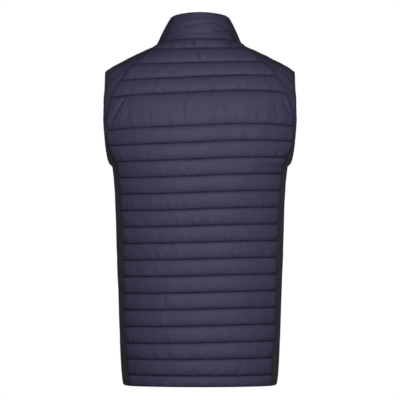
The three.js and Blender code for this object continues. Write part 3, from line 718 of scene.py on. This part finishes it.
def quilted_thickness(base, across, line, from_edge, width, seed, creases):
    channel, low, span = channel_relief(line, across, seed + 2)
    fall = np.clip(from_edge / CROWN_FALL, 0, 1)
    flat, full = FALL_ROUND
    fall = (1 - (1 - fall) ** flat) ** (1 / full)
    soft = pucker_relief(across, line, width, seed) + ripple_relief(across, line, seed + 1)
    folds, shade = crease_relief(base, creases)
    soft = soft + folds
    hold = np.clip(channel / CROWN + 0.35, 0, 1)
    thick = STITCHED + (channel + soft * hold) * fall
    edge = np.clip(from_edge / 2.0, 0, 1)
    level = line_level(line)
    # painted shade along each stitch line, a little uneven along the row
    thread_gap = np.minimum(level - line_level(low), line_level(low + span) - level)
    uneven = 0.82 + 0.18 * slow_waves(across, np.random.default_rng(seed + 3), 20, 90)
    shade = np.maximum(shade, np.exp(-((thread_gap / PAINTED_SHADE_REACH) ** 2)) * uneven)
    return np.maximum(EDGE + (thick - EDGE) * edge, EDGE * 0.8), shade

BACK_CREASES = [
    # from x, z to x, z, depth, half width, shade
    (12, 6, 11, -9, 2.6, 2.2, 1.0),
    (9, 0, 1, -13, 0.9, 2.2, 0.15),
    (6, -15, 0, -38, 2.4, 2.3, 0.85),
    (-50, -9, -70, 3, 2.3, 2.4, 0.65),
    (-42, -8, -58, 0, 1.2, 2.0, 0.2),
    (-62, -9, -80, -2, 1.4, 2.4, 0.25),
    (-22, -22, -52, -14, 1.2, 2.6, 0.2),
    (-30, -30, -44, -26, 0.9, 2.6, 0.1),
    (32, -112, 33, -158, 1.6, 2.4, 0.12),
    (-46, -120, -56, -147, 1.4, 2.6, 0.12),
    (26, -256, 24, -268, 1.2, 2.6, 0.1),
    (21, -255, 25, -268, 0.9, 2.4, 0.1),
    (151, -114, 163, -139, 2.2, 2.8, 0.25),
    (157, -124, 180, -166, 3.6, 3.2, 0.4),
    (143, -116, 149, -137, 1.4, 2.6, 0.2),
    (139, -131, 150, -161, 1.2, 3.2, 0),
    (-166, -118, -185, -155, 3.2, 3.0, 0.4),
    (-177, -114, -187, -138, 1.8, 2.4, 0.3),
    (-163, -106, -173, -130, 1.2, 2.0, 0.25),
    (-150, -128, -160, -160, 1.1, 3.6, 0),
    (184, -178, 170, -196, 1.2, 3.2, 0.1),
    (-184, -180, -172, -200, 1.2, 3.2, 0.1),
    (159, -356, 150, -376, 1.4, 2.2, 0.12),
    (154, -357, 146, -374, 1.0, 2.2, 0.05),
    (162, -292, 157, -308, 1.0, 2.4, 0.08),
    (-166, -245, -169, -262, 1.3, 2.2, 0.15),
    (-158, -262, -166, -282, 1.4, 2.4, 0.12),
    (-157, -296, -163, -312, 1.2, 2.4, 0.12),
    (-150, -330, -158, -349, 1.0, 2.4, 0.08),
    (-155, -430, -151, -446, 0.9, 2.6, 0.06),
    (152, -520, 147, -536, 0.9, 2.6, 0.06),
]

def quilted_panel(name, shares, face, angle_from, row_length, seed, creases):
    """A quilted panel. angle_from gives a point's angle from its height, line and share."""
    line = QUILT_ROWS[:, None] + np.zeros(len(shares))
    share = shares[None, :] + np.zeros((len(QUILT_ROWS), 1))
    angle, height = settled(line, face, lambda height: angle_from(height, line, share))
    base, normal = on_ring(angle, height), outward(angle, height)
    across = cloth_map(base)[..., 0] / MM
    from_side = across[:, -1:] - np.abs(across)
    thick, shade = quilted_thickness(base, across, line, from_side, row_length, seed, creases)
    rows, columns = kept(len(QUILT_ROWS), len(ROW_STEPS) // 2), kept(len(shares), 3)
    return panel(name, base, normal, thick, shell_cloth, rows, columns, shade)

def back_angle(height, line, share):
    return np.abs(share) * seam_angle(height, np.where(share < 0, RIGHT, LEFT), BACK)

quilted_back = quilted_panel(
    "quilted_back", 2 * eased(BACK_COLUMNS) - 1, BACK, back_angle,
    BACK_ROW, PUCKER_SEED, BACK_CREASES,
)

# %% [markdown]
# ## The fronts
#
# Each front runs from the zip to the side seam. The rows of quilting go on from the back at the
# same heights. The neck is cut down in a curve towards the zip.

# %% Quilted fronts
FRONT_CREASES = [
    (150, -118, 176, -160, 2.8, 3.2, 0.3),
    (143, -128, 152, -156, 1.2, 3.4, 0.1),
    (60, -100, 66, -140, 1.2, 3.0, 0.1),
    (110, -285, 104, -318, 1.1, 3.2, 0),
    (35, -420, 38, -446, 1.0, 2.8, 0),
    (92, -560, 88, -592, 1.1, 3.0, 0),
]

def mirrored(creases, side):
    return [(side * x0, z0, side * x1, *rest) for x0, z0, x1, *rest in creases]

def front_panel(side, word, seed):
    def angle_from(height, line, share):
        low, high = front_angle_at(ZIP_EDGE, height, side), front_neck_angle(height, side)
        inner = np.where(line > FRONT_NECK_LINE, high, low)
        return inner + (seam_angle(height, side, FRONT) - inner) * share

    return quilted_panel(
        f"quilted_front_{word}", eased(FRONT_COLUMNS), FRONT, angle_from,
        FRONT_ROW, seed, mirrored(FRONT_CREASES, side),
    )

quilted_front_left = front_panel(LEFT, "left", 31)
quilted_front_right = front_panel(RIGHT, "right", 47)

# %% [markdown]
# ## Shoulder and side panels
#
# The shoulder panels run from the back over the shoulder to the front and take in the armhole.
# They and the stretch side panels are plain cloth, so they are thin shells with a few soft folds.

# %% Armhole and plain panels
ARM_MIDDLE, ARM_WIDEST, ARM_ROUND = -1, -140, 2.2
ARM_BACK, ARM_FRONT, ARM_UP, ARM_DOWN = 55, 58, 80, 106
BINDING_WIDTH, BINDING_THICK, BINDING_WRAP = 4.8, 3.4, 0.8
LEAN_SIDE, LEAN_TOP, LEAN_FOOT = 0.8, 0.5, 0.95
WALL = 2.4
TURNED_EDGE = 0.9  # thickness where plain cloth is turned in
SIDE_EVEN_TO = 11  # the side panel's rows lie even up to this line
SHOULDER_ROWS, SHOULDER_COLUMNS = 92, 30
SIDE_ROWS, SIDE_COLUMNS = 181, 34
OVER = np.linspace(0, 1, 6)  # steps over the ridge of the shoulder

def armhole_place(turn, side, width):
    a = np.radians(turn)
    power = 2 / ARM_ROUND
    lie = np.abs(np.sin(a)) ** power * np.sign(np.sin(a))
    rise = np.abs(np.cos(a)) ** power * np.sign(np.cos(a))
    reach = np.where(lie >= 0, ARM_BACK, ARM_FRONT) + width * LEAN_SIDE
    up, down = ARM_UP + width * LEAN_TOP, ARM_DOWN + width * LEAN_FOOT
    height = ARM_WIDEST + rise * np.where(rise >= 0, up, down)
    along = ARM_MIDDLE + lie * reach - ring_middle(height)
    return angle_at_depth(along, height, side), height

def turn_at(line):
    return np.interp(line, LINES[:, 0], LINES[:, 4])

def plain_thickness(base, creases, seed, waves):
    """Plain cloth: turned down at its edges, with soft waves and the creases of its table."""
    across, edge = run_along(base, 1), from_edges(base)
    rng = np.random.default_rng(seed)
    soft = np.zeros(edge.shape)
    for _ in range(9):
        long, wide = rng.uniform(45, 120), rng.uniform(18, 50)
        soft += np.sin(2 * np.pi * (base[..., 2] / long + across / wide) + rng.uniform(0, 6)) / 9
    folds, shade = crease_relief(base, creases)
    turned_in = np.clip(edge / 1.8, 0, 1) ** 0.6
    full = WALL + waves * soft + folds
    return np.maximum(TURNED_EDGE + (full - TURNED_EDGE) * turned_in, 0.7), shade

SHOULDER_CREASES = [
    (150, -48, 170, -62, 0.8, 4.0, 0),
    (120, -28, 135, -30, 0.6, 3.5, 0),
]

def between(first, last, shares):
    return first + (last - first) * shares[:, None]

def shoulder_panel(side, word):
    climb = np.linspace(SIDE_TOP, NECK, SHOULDER_ROWS)
    back_seam = np.stack([*seam_place(climb, side, BACK), turn_at(climb)], -1)
    front_seam = np.stack([*seam_place(climb, side, FRONT), -turn_at(climb)], -1)
    ridge = np.array([side * math.pi / 2, line_height(NECK, side * NECK_HALF, BACK), 0])
    up = between(back_seam[-1], ridge, OVER[1:])
    down = between(ridge, front_seam[-1], OVER[1:-1])
    seam = np.concatenate([back_seam, up, down, front_seam[::-1]])
    arm = np.stack(armhole_place(seam[:, 2], side, BINDING_WIDTH), -1)
    shares = eased(SHOULDER_COLUMNS)
    angle, height = [
        seam[:, k, None] + (arm[:, k] - seam[:, k])[:, None] * shares for k in range(2)
    ]
    base, normal = on_ring(angle, height), outward(angle, height)
    thick, shade = plain_thickness(base, mirrored(SHOULDER_CREASES, side), 11 + side, 1.05)
    return panel(
        f"shoulder_panel_{word}", base, normal, thick, yoke_cloth,
        kept(len(seam), 2), kept(SHOULDER_COLUMNS, 2), shade,
    )

def side_panel(side, word):
    lines = np.linspace(0, SIDE_TOP, SIDE_ROWS)
    low = float(turn_at(SIDE_TOP))
    shares = eased(SIDE_COLUMNS)
    turns = low + (360 - 2 * low) * np.clip((shares * 8 - 1) / 6, 0, 1)
    goal_angle, goal_height = armhole_place(turns, side, BINDING_WIDTH)
    behind, ahead = seam_place(lines, side, BACK), seam_place(lines, side, FRONT)
    level = float(seam_place(np.array([float(SIDE_EVEN_TO)]), side, BACK)[1][0])
    even = behind[0][:, None] + (ahead[0] - behind[0])[:, None] * shares
    low_height = behind[1][:, None] + (ahead[1] - behind[1])[:, None] * shares
    lift = np.clip((lines - SIDE_EVEN_TO) / (SIDE_TOP - SIDE_EVEN_TO), 0, 1)[:, None]
    angle = even + (goal_angle - even) * lift
    height = np.where(lift > 0, level + (goal_height - level) * lift, low_height)
    for column, (end_angle, end_height) in ((0, behind), (-1, ahead)):
        angle[:, column], height[:, column] = end_angle, end_height
    base, normal = on_ring(angle, height), outward(angle, height)
    thick, shade = plain_thickness(base, [], 23 + side, 0.75)
    return panel(
        f"side_panel_{word}", base, normal, thick, stretch_knit,
        kept(SIDE_ROWS, 4), kept(SIDE_COLUMNS, 3), shade,
    )

shoulder_panel_left = shoulder_panel(LEFT, "left")
shoulder_panel_right = shoulder_panel(RIGHT, "right")
side_panel_left = side_panel(LEFT, "left")
side_panel_right = side_panel(RIGHT, "right")

# %% [markdown]
# ## The collar
#
# The stand collar is one padded strip, sewn to the neck seam all round and closed by the zip in
# front. Each point of the seam rises to the same share of the way round an oval top edge that
# dips towards the throat. The padding is thickest below the middle, and the strip wrinkles a
# little where it bends most.

# %% Neck seam
COLLAR_HALF, COLLAR_BACK, COLLAR_MIDDLE = 58.5, 54, 42.9
COLLAR_SLOPE, COLLAR_DIP, COLLAR_ARCH, COLLAR_BULGE = 27.24, 9.1, 2.56, 1.5
COLLAR_ROWS = np.array([
    # share of the way up, thickness
    (0, 0.9), (0.05, 2.4), (0.1, 3.6), (0.15, 3.8), (0.22, 3.3), (0.35, 4.0), (0.65, 4.4),
    (0.9, 3.9), (0.97, 3.2), (1, 2.0)
])
COLLAR_COLUMNS, COLLAR_STEPS, COLLAR_SEED = 190, 40, 5
COLLAR_TALL = 60  # height of the strip
COLLAR_END = 1.2  # thickness at its two ends
NECK_SHADE_REACH = 2.4  # how far up the painted shade of the neck seam reaches

def neck_half(side):
    """The neck seam of one half from the zip to the middle of the back: points and normals."""
    line, share = np.linspace(FRONT_NECK_LINE, NECK, 60), np.linspace(1, 0, 90)
    top = np.full(len(share), float(NECK))
    ahead = np.stack(settled(line, FRONT, lambda h: front_neck_angle(h, side)), -1)
    behind = np.stack(settled(top, BACK, lambda h: share * seam_angle(h, side, BACK)), -1)
    corner = np.stack(seam_place(top[:1], side, FRONT), -1)[0]
    ridge = np.array([side * math.pi / 2, line_height(NECK, side * NECK_HALF, BACK)])
    up, down = between(corner, ridge, OVER[:-1]), between(ridge, behind[0], OVER[:-1])
    angle, height = np.concatenate([ahead, up, down, behind]).T
    points, normals = on_ring(angle, height), outward(angle, height)
    run = run_along(points[None], 1)[0]
    even = np.linspace(0, run[-1], COLLAR_COLUMNS)
    points = np.stack([np.interp(even, run, points[:, k]) for k in range(3)], -1)
    normals = unit(np.stack([np.interp(even, run, normals[:, k]) for k in range(3)], -1))
    return points, normals

def round_top(share, side, foot):
    turn = (math.pi - math.asin(ZIP_EDGE / COLLAR_HALF)) * share
    middle, reach = (COLLAR_BACK + foot) / 2, (COLLAR_BACK - foot) / 2
    height = COLLAR_MIDDLE + COLLAR_SLOPE * np.cos(turn) - COLLAR_DIP * np.cos(2 * turn)
    height = height + COLLAR_ARCH * np.cos(3 * turn)
    return np.stack([side * COLLAR_HALF * np.sin(turn), middle + reach * np.cos(turn), height], -1)

def collar_half(side):
    seam, normals = neck_half(side)
    foot = seam[0, 1]
    share = np.linspace(1, 0, COLLAR_COLUMNS)
    top = round_top(share, side, foot)
    away = seam - np.array([0, (COLLAR_BACK + foot) / 2, 0])
    away[:, 2] = 0
    away = unit(away) * (COLLAR_BULGE * (1 + np.cos(math.pi * share)) / 2)[:, None]
    up = np.linspace(0, 1, COLLAR_STEPS)[:, None, None]
    return seam + (top - seam) * up + away * np.sin(math.pi * up), normals

# %% Collar
COLLAR_CREASES = [
    # from x, z to x, z, depth, half width, shade, on the back (1) or front (-1)
    (38, 32, -4, 40.5, 1.9, 2.6, 0.2, BACK),
    (0, 40.5, -28, 42.5, 1.8, 2.4, 0.25, BACK),
    (44, 37, 10, 48, -1.0, 4.5, 0, BACK),
    (14, 48, -26, 48, -0.8, 4.5, 0, BACK),
    (-24, 42.5, -50, 33, 1.5, 2.6, 0.15, BACK),
    (-26, 26, -48, 23, 2.3, 2.4, 0.45, BACK),
    (-44, 23, -62, 28, 2.9, 2.8, 0.9, BACK),
    (-32, 29, -58, 29, -1.2, 2.2, 0, BACK),
    (-58, 31, -76, 0, 3.6, 4.2, 1.0, BACK),
    (-66, 34, -82, 4, 2.6, 3.4, 1.0, BACK),
    (55, 52, 73, 6, 1.2, 2.2, 0.4, BACK),
    (-54, 52, -66, 28, 1.2, 2.2, 0.5, BACK),
    (60, 10, 30, 13, 1.0, 2.2, 0.1, BACK),
    (20, 20, -24, 21, 0.8, 2.6, 0.05, BACK),
    (48, 22, 60, -2, 1.4, 3.0, 0.15, FRONT),
    (-46, 20, -60, -4, 1.4, 3.0, 0.15, FRONT),
    (24, 4, 34, -24, 1.0, 3.2, 0.05, FRONT),
    (-26, 6, -34, -22, 1.1, 3.2, 0.05, FRONT),
]

def collar_piece():
    left, left_normals = collar_half(LEFT)
    right, right_normals = collar_half(RIGHT)
    base = np.concatenate([left, right[:, ::-1][:, 1:]], 1)
    foot_normals = np.concatenate([left_normals, right_normals[::-1][1:]])
    along, up = np.gradient(base, axis=1), np.gradient(base, axis=0)
    normal = unit(np.cross(along, up))
    rows = np.linspace(0, 1, COLLAR_STEPS)
    hold = np.clip(1 - rows / 0.12, 0, 1)[:, None, None]
    normal = unit(normal * (1 - hold) + foot_normals * hold)
    thick = np.interp(rows, COLLAR_ROWS[:, 0], COLLAR_ROWS[:, 1])[:, None] + np.zeros(base.shape[1])
    behind = 1 / (1 + np.exp(-base[..., 1] / 6))
    shade = np.zeros(thick.shape)
    # each crease also paints shade along its bottom
    for *crease, face in COLLAR_CREASES:
        here = behind if face == BACK else 1 - behind
        fold, dark = crease_relief(base, [crease])
        thick = thick + fold * here
        shade = np.maximum(shade, dark * here)
    away, run = rows[:, None] * COLLAR_TALL, run_along(base, 1)[0]
    puckers = drawn_puckers(np.random.default_rng(COLLAR_SEED), run[-1], gap=15, longest=20)
    for at, depth, wide, long, lean in puckers:
        near = run[None, :] - run[-1] / 2 - at - lean * away
        fade = np.exp(-((away / long) ** 2))
        thick = thick - 0.6 * depth * np.exp(-((near / wide) ** 2)) * fade
    # painted shade along the neck seam
    shade = np.maximum(shade, 0.9 * np.exp(-((away / NECK_SHADE_REACH) ** 2)))
    ends = np.clip(np.minimum(run, run[-1] - run) / 3, 0, 1) ** 0.6
    thick = np.maximum(COLLAR_END + (thick - COLLAR_END) * ends, 1.0)
    return panel(
        "stand_collar", base, normal, thick, yoke_cloth,
        kept(COLLAR_STEPS, 3), kept(base.shape[1], 2), shade,
    )

stand_collar = collar_piece()

# %% [markdown]
# ## Bound armholes
#
# A strip of elastic is folded round each armhole's edge. Its section is a flattened loop, swept
# round the opening, and it waves very slightly because the elastic gathers the cloth.

# %% Armhole bindings
BINDING_TURNS, BINDING_SIDES = 260, 14
BINDING_AROUND = 16  # width of the strip round its section
THREAD_SINK = 0.35  # how deep the thread sits in the strip
binding_rows = {}  # the line that each binding is sewn along

def swept(name, rings, material, face_map, looped, smooth_under=55):
    """A band through rings of points. A looped one meets itself, another gets end caps."""
    ids = np.arange(rings[..., 0].size).reshape(rings.shape[:2])
    after = np.roll(ids, -1, 0)
    faces = np.stack([ids, np.roll(ids, -1, 1), np.roll(after, -1, 1), after], -1)
    if looped:
        faces = faces.reshape(-1, 4).tolist()
    else:
        faces = faces[:-1].reshape(-1, 4).tolist() + [ids[0, ::-1].tolist(), ids[-1].tolist()]
    points, flat = rings.reshape(-1, 3), face_map.reshape(-1, 2)
    return new_piece(name, points, faces, material, flat, smooth_under=smooth_under)

def binding(side, word):
    turns = np.linspace(-180, 180, BINDING_TURNS, endpoint=False)
    cloth = armhole_place(turns, side, BINDING_WIDTH)
    opening = armhole_place(turns, side, 0)
    cloth_points, open_points = on_ring(*cloth), on_ring(*opening)
    cloth_normals, open_normals = outward(*cloth), outward(*opening)
    spin = np.linspace(0, 2 * math.pi, BINDING_SIDES, endpoint=False)

    def squared(value):
        return np.sign(value) * np.abs(value) ** 0.75

    share = 0.36 + 0.64 * squared(np.cos(spin))
    middle, half = (BINDING_THICK - BINDING_WRAP) / 2, (BINDING_THICK + BINDING_WRAP) / 2
    lift = middle + half * squared(np.sin(spin))
    wave = 1 + 0.04 * np.sin(np.radians(turns) * 61) + 0.03 * np.sin(np.radians(turns) * 37 + 1)
    points = cloth_points[:, None] + (open_points - cloth_points)[:, None] * share[:, None]
    normal = unit(
        cloth_normals[:, None] + (open_normals - cloth_normals)[:, None] * share[:, None]
    )
    rings = points + normal * (lift * wave[:, None])[..., None]
    run = run_along(rings[None, :, 0], 1)[0]
    turn = np.linspace(0, BINDING_AROUND, BINDING_SIDES)
    flat = np.stack(np.broadcast_arrays(run[:, None] * MM, turn * MM), -1)
    piece = swept(f"armhole_edge_{word}", rings, edge_binding, flat, looped=True)
    sewn_line = cloth_points + (open_points - cloth_points) * 0.05
    binding_rows[word] = sewn_line + normal[:, 0] * (BINDING_THICK - THREAD_SINK)
    return piece

armhole_edge_left = binding(LEFT, "left")
armhole_edge_right = binding(RIGHT, "right")
print("binding triangles:", 2 * BINDING_TURNS * BINDING_SIDES)

# %% [markdown]
# ## Zip tapes
#
# Each tape is a flat woven band that lies just behind the front's edge and runs on up the inside
# of the collar. The teeth come later.

# %% Tapes
TAPE_THICK, TAPE_UNDER, TAPE_BEHIND, ZIP_HALF_GAP = 1.0, 6, 0.5, 0.2
TAPE_MIDDLE = 2.6
BAND_FOOT, BAND_HEAD, BAND_RISE = 3.0, 1.6, 0.35  # the raised band that holds the teeth
ZIP_FOOT_LINE, ZIP_TOP_SHARE = 0.5, 0.9
TAPE_STEPS = 150
CHAIN_LIFT = 0.4  # how far the row of teeth stands off the middle of the zip

def zip_route(side):
    """The edge that a tape is sewn to: points, the way across the cloth, and outward normals."""
    line = np.linspace(ZIP_FOOT_LINE, FRONT_NECK_LINE, TAPE_STEPS)
    edge = settled(line, FRONT, lambda height: front_angle_at(ZIP_EDGE, height, side))
    next_in = settled(line, FRONT, lambda height: front_angle_at(ZIP_EDGE + 10, height, side))
    points, inner, normals = on_ring(*edge), on_ring(*next_in), outward(*edge)
    half, _ = collar_half(side)
    rise = half[1:, :2]
    shares = np.linspace(0, 1, COLLAR_STEPS)[1:]
    rise = rise[shares <= ZIP_TOP_SHARE]
    up = np.gradient(rise[:, 0], axis=0)
    rise_normals = unit(np.cross(unit(rise[:, 1] - rise[:, 0]), up))
    rise_normals = rise_normals * np.where(rise_normals[:, 1:2] > 0, -1, 1)
    points = np.concatenate([points, rise[:, 0]])
    across = unit(np.concatenate([inner - points[: len(inner)], rise[:, 1] - rise[:, 0]]))
    normals = np.concatenate([normals, rise_normals])
    return points, across, normals

def tape(side, word):
    points, across, normals = zip_route(side)
    flat_normal = unit(normals * np.array([0, 1, 1]))
    middle = points * np.array([0, 1, 1])

    def at(x, lift):
        return middle + np.array([side * x, 0, 0]) + flat_normal * lift

    def under(lift):
        return points + across * TAPE_UNDER + normals * lift

    face, back = -TAPE_BEHIND, -TAPE_BEHIND - TAPE_THICK
    rings = np.stack([
        at(ZIP_HALF_GAP, back), at(TAPE_MIDDLE, back), at(ZIP_EDGE, back), under(back),
        under(face), at(ZIP_EDGE, face), at(BAND_FOOT, face), at(BAND_HEAD, face + BAND_RISE),
        at(ZIP_HALF_GAP, face),
    ], 1)
    run, far = run_along(points[None], 1)[0], ZIP_EDGE + TAPE_UNDER
    width = np.array([0, TAPE_MIDDLE, ZIP_EDGE, far, far, ZIP_EDGE, BAND_FOOT, BAND_HEAD, 0])
    flat = np.stack(np.broadcast_arrays(width * MM, run[:, None] * MM), -1)
    piece = swept(f"zip_tape_{word}", rings, tape_weave, flat, looped=False, smooth_under=40)
    return piece, middle + flat_normal * CHAIN_LIFT

tape_left, chain_line = tape(LEFT, "left_band")
tape_right, _ = tape(RIGHT, "right_band")
print("zip length:", round(float(run_along(chain_line[None], 1)[0, -1])), "mm")

# %% [markdown]
# ## Thread and teeth with Geometry Nodes
#
# Stitches and teeth are the same small form again and again along a line, which is what Geometry
# Nodes do well. The node tree takes a line, spaces points along it, turns one small form to follow
# it and sets it on every point. It ends with real geometry, and the modifier is then removed.

# %% A node tree that lays forms along lines
def along_line_tree(name, kind):
    """kind "stitch" lays rounded stitches, and "tooth" lays teeth that point across."""
    tree = bpy.data.node_groups.new(name, "GeometryNodeTree")
    face = tree.interface
    face.new_socket("Line", in_out="INPUT", socket_type="NodeSocketGeometry")
    for label, value in [("Spacing", 0.003), ("Long", 0.001), ("Wide", 0.001), ("Thick", 0.001)]:
        socket = face.new_socket(label, in_out="INPUT", socket_type="NodeSocketFloat")
        socket.default_value = value
    face.new_socket("Shift", in_out="INPUT", socket_type="NodeSocketFloat")
    face.new_socket("Finish", in_out="INPUT", socket_type="NodeSocketMaterial")
    face.new_socket("Geometry", in_out="OUTPUT", socket_type="NodeSocketGeometry")
    given = tree.nodes.new("NodeGroupInput").outputs
    curve = node(tree, "GeometryNodeMeshToCurve", Mesh=given["Line"]).outputs["Curve"]
    spaced = node(
        tree, "GeometryNodeResampleCurve", {"mode": "LENGTH"}, Curve=curve, Length=given["Spacing"]
    )
    tangent = node(tree, "GeometryNodeInputTangent").outputs[0]
    turn = node(
        tree, "FunctionNodeAlignRotationToVector", {"axis": "Z"}, Vector=tangent
    ).outputs["Rotation"]
    size = node(tree, "ShaderNodeCombineXYZ", X=given["Wide"], Y=given["Thick"], Z=given["Long"])
    if kind == "stitch":
        form = node(tree, "GeometryNodeMeshIcoSphere", Radius=0.5, Subdivisions=1)
        shape = form.outputs["Mesh"]
    else:
        turn = node(
            tree, "FunctionNodeAlignRotationToVector", {"axis": "X", "pivot_axis": "Z"},
            Vector=(1, 0, 0), Rotation=turn,
        ).outputs["Rotation"]
        bar = node(tree, "GeometryNodeMeshCube", Size=(1, 0.72, 0.5))
        head = node(tree, "GeometryNodeMeshCylinder", Vertices=8, Radius=0.5, Depth=0.9)
        turned = node(
            tree, "GeometryNodeTransform", Geometry=head.outputs["Mesh"],
            Translation=(-0.5, 0, 0), Rotation=(math.radians(90), 0, 0), Scale=(0.36, 1.0, 1.0),
        )
        joined = node(tree, "GeometryNodeJoinGeometry")
        tree.links.new(bar.outputs["Mesh"], joined.inputs[0])
        tree.links.new(turned.outputs["Geometry"], joined.inputs[0])
        shape = joined.outputs[0]
    placed = node(
        tree, "GeometryNodeInstanceOnPoints", Points=spaced.outputs["Curve"], Instance=shape,
        Rotation=turn, Scale=size.outputs["Vector"],
    ).outputs["Instances"]
    aside = node(tree, "ShaderNodeCombineXYZ", X=given["Shift"]).outputs["Vector"]
    moved = node(tree, "GeometryNodeTranslateInstances", Instances=placed, Translation=aside)
    real = node(tree, "GeometryNodeRealizeInstances", Geometry=moved.outputs["Instances"])
    dressed = node(
        tree, "GeometryNodeSetMaterial", Geometry=real.outputs["Geometry"],
        Material=given["Finish"],
    )
    node(tree, "NodeGroupOutput", Geometry=dressed.outputs["Geometry"])
    return tree

def laid_along(name, lines, tree, material, closed=False, **sizes):
    """Plain mesh of small forms along lines of points given in millimetres."""
    points, edges = [], []
    for line in lines:
        start = len(points)
        points += (np.asarray(line) * MM).tolist()
        edges += [(start + i, start + i + 1) for i in range(len(line) - 1)]
        if closed:
            edges.append((len(points) - 1, start))
    wire = bpy.data.meshes.new(name + "_line")
    wire.from_pydata(points, edges, [])
    carrier = bpy.data.objects.new(name + "_line", wire)
    bpy.context.collection.objects.link(carrier)
    modifier = carrier.modifiers.new("forms", "NODES")
    modifier.node_group = tree
    sockets = {s.name: s.identifier for s in tree.interface.items_tree if s.in_out == "INPUT"}
    for label, value in sizes.items():
        modifier[sockets[label]] = value
    modifier[sockets["Finish"]] = material
    graph = bpy.context.evaluated_depsgraph_get()
    mesh = bpy.data.meshes.new_from_object(carrier.evaluated_get(graph))
    mesh.name = name
    bpy.data.objects.remove(carrier)
    piece = bpy.data.objects.new(name, mesh)
    bpy.context.collection.objects.link(piece)
    mesh.shade_smooth()
    mesh.set_sharp_from_angle(angle=math.radians(50))
    print(name, "triangles:", sum(len(p.vertices) - 2 for p in mesh.polygons))
    return piece

stitch_tree = along_line_tree("stitches_along_a_line", "stitch")
tooth_tree = along_line_tree("teeth_along_a_line", "tooth")

# %% Sewing
STITCH = dict(Spacing=0.0034, Long=0.0029, Wide=0.0007, Thick=0.0007)
QUILT_EDGE = 2  # columns left free at the ends of a row of quilting

def quilting_rows(name):
    outer = outer_faces[name]
    rows = [n * len(ROW_STEPS) for n in STITCH_LINES[1:-1]]
    return [outer[row, QUILT_EDGE:-QUILT_EDGE] for row in rows]

def sewn(name, lines, closed=False):
    return laid_along(name, lines, stitch_tree, sewing_thread, closed=closed, **STITCH)

back_sewing = sewn("back_sewing", quilting_rows("quilted_back"))
front_sewing_left = sewn("front_sewing_left", quilting_rows("quilted_front_left"))
front_sewing_right = sewn("front_sewing_right", quilting_rows("quilted_front_right"))
binding_sewing = sewn("binding_sewing", list(binding_rows.values()), closed=True)

# %% Zip teeth
TOOTH_PITCH, TOOTH_SHIFT = 0.0025, 0.0011
TOOTH = dict(Spacing=TOOTH_PITCH, Long=0.0019, Wide=0.0036, Thick=0.0023)
half_pitch = chain_line + np.array([0, 0, TOOTH_PITCH / MM / 2])
teeth_left = laid_along(
    "teeth_left", [chain_line], tooth_tree, tooth_plastic, Shift=TOOTH_SHIFT, **TOOTH
)
teeth_right = laid_along(
    "teeth_right", [half_pitch * np.array([-1, 1, 1])], tooth_tree, tooth_plastic,
    Shift=-TOOTH_SHIFT, **TOOTH,
)

# %% [markdown]
# ## Joining the looks to the frame
#
# Each piece rides with the garment and stands in for the plain solid of the same name. The slider,
# box and pull tab keep their solids, which already have the true form, and get a moulded finish.

# %% Bodies, slots and replaced nodes
for hard_node in ("zip_slider", "zip_box", "zip_pull_tab"):
    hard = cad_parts[hard_node]
    for material_slot in hard.material_slots:
        material_slot.material = zip_metal

DRESSED = [
    # piece, slot, node that it stands for
    (quilted_back, "shell", "back"),
    (quilted_front_left, "shell", "front_left"),
    (quilted_front_right, "shell", "front_right"),
    (shoulder_panel_left, "yoke", "shoulder_left"),
    (shoulder_panel_right, "yoke", "shoulder_right"),
    (stand_collar, "yoke", "collar"),
    (side_panel_left, "stretch", "side_left"),
    (side_panel_right, "stretch", "side_right"),
    (armhole_edge_left, "trim", "armhole_binding_left"),
    (armhole_edge_right, "trim", "armhole_binding_right"),
    (tape_left, "tape", "zip_tape_left"),
    (tape_right, "tape", "zip_tape_right"),
]
for piece, finish, cad_node in DRESSED:
    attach(piece, "garment")
    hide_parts(cad_node)

SEWN_ON = [
    (back_sewing, "shell"),
    (front_sewing_left, "shell"),
    (front_sewing_right, "shell"),
    (binding_sewing, "trim"),
    (teeth_left, "hardware"),
    (teeth_right, "hardware"),
]
for piece, finish in SEWN_ON:
    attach(piece, "garment")
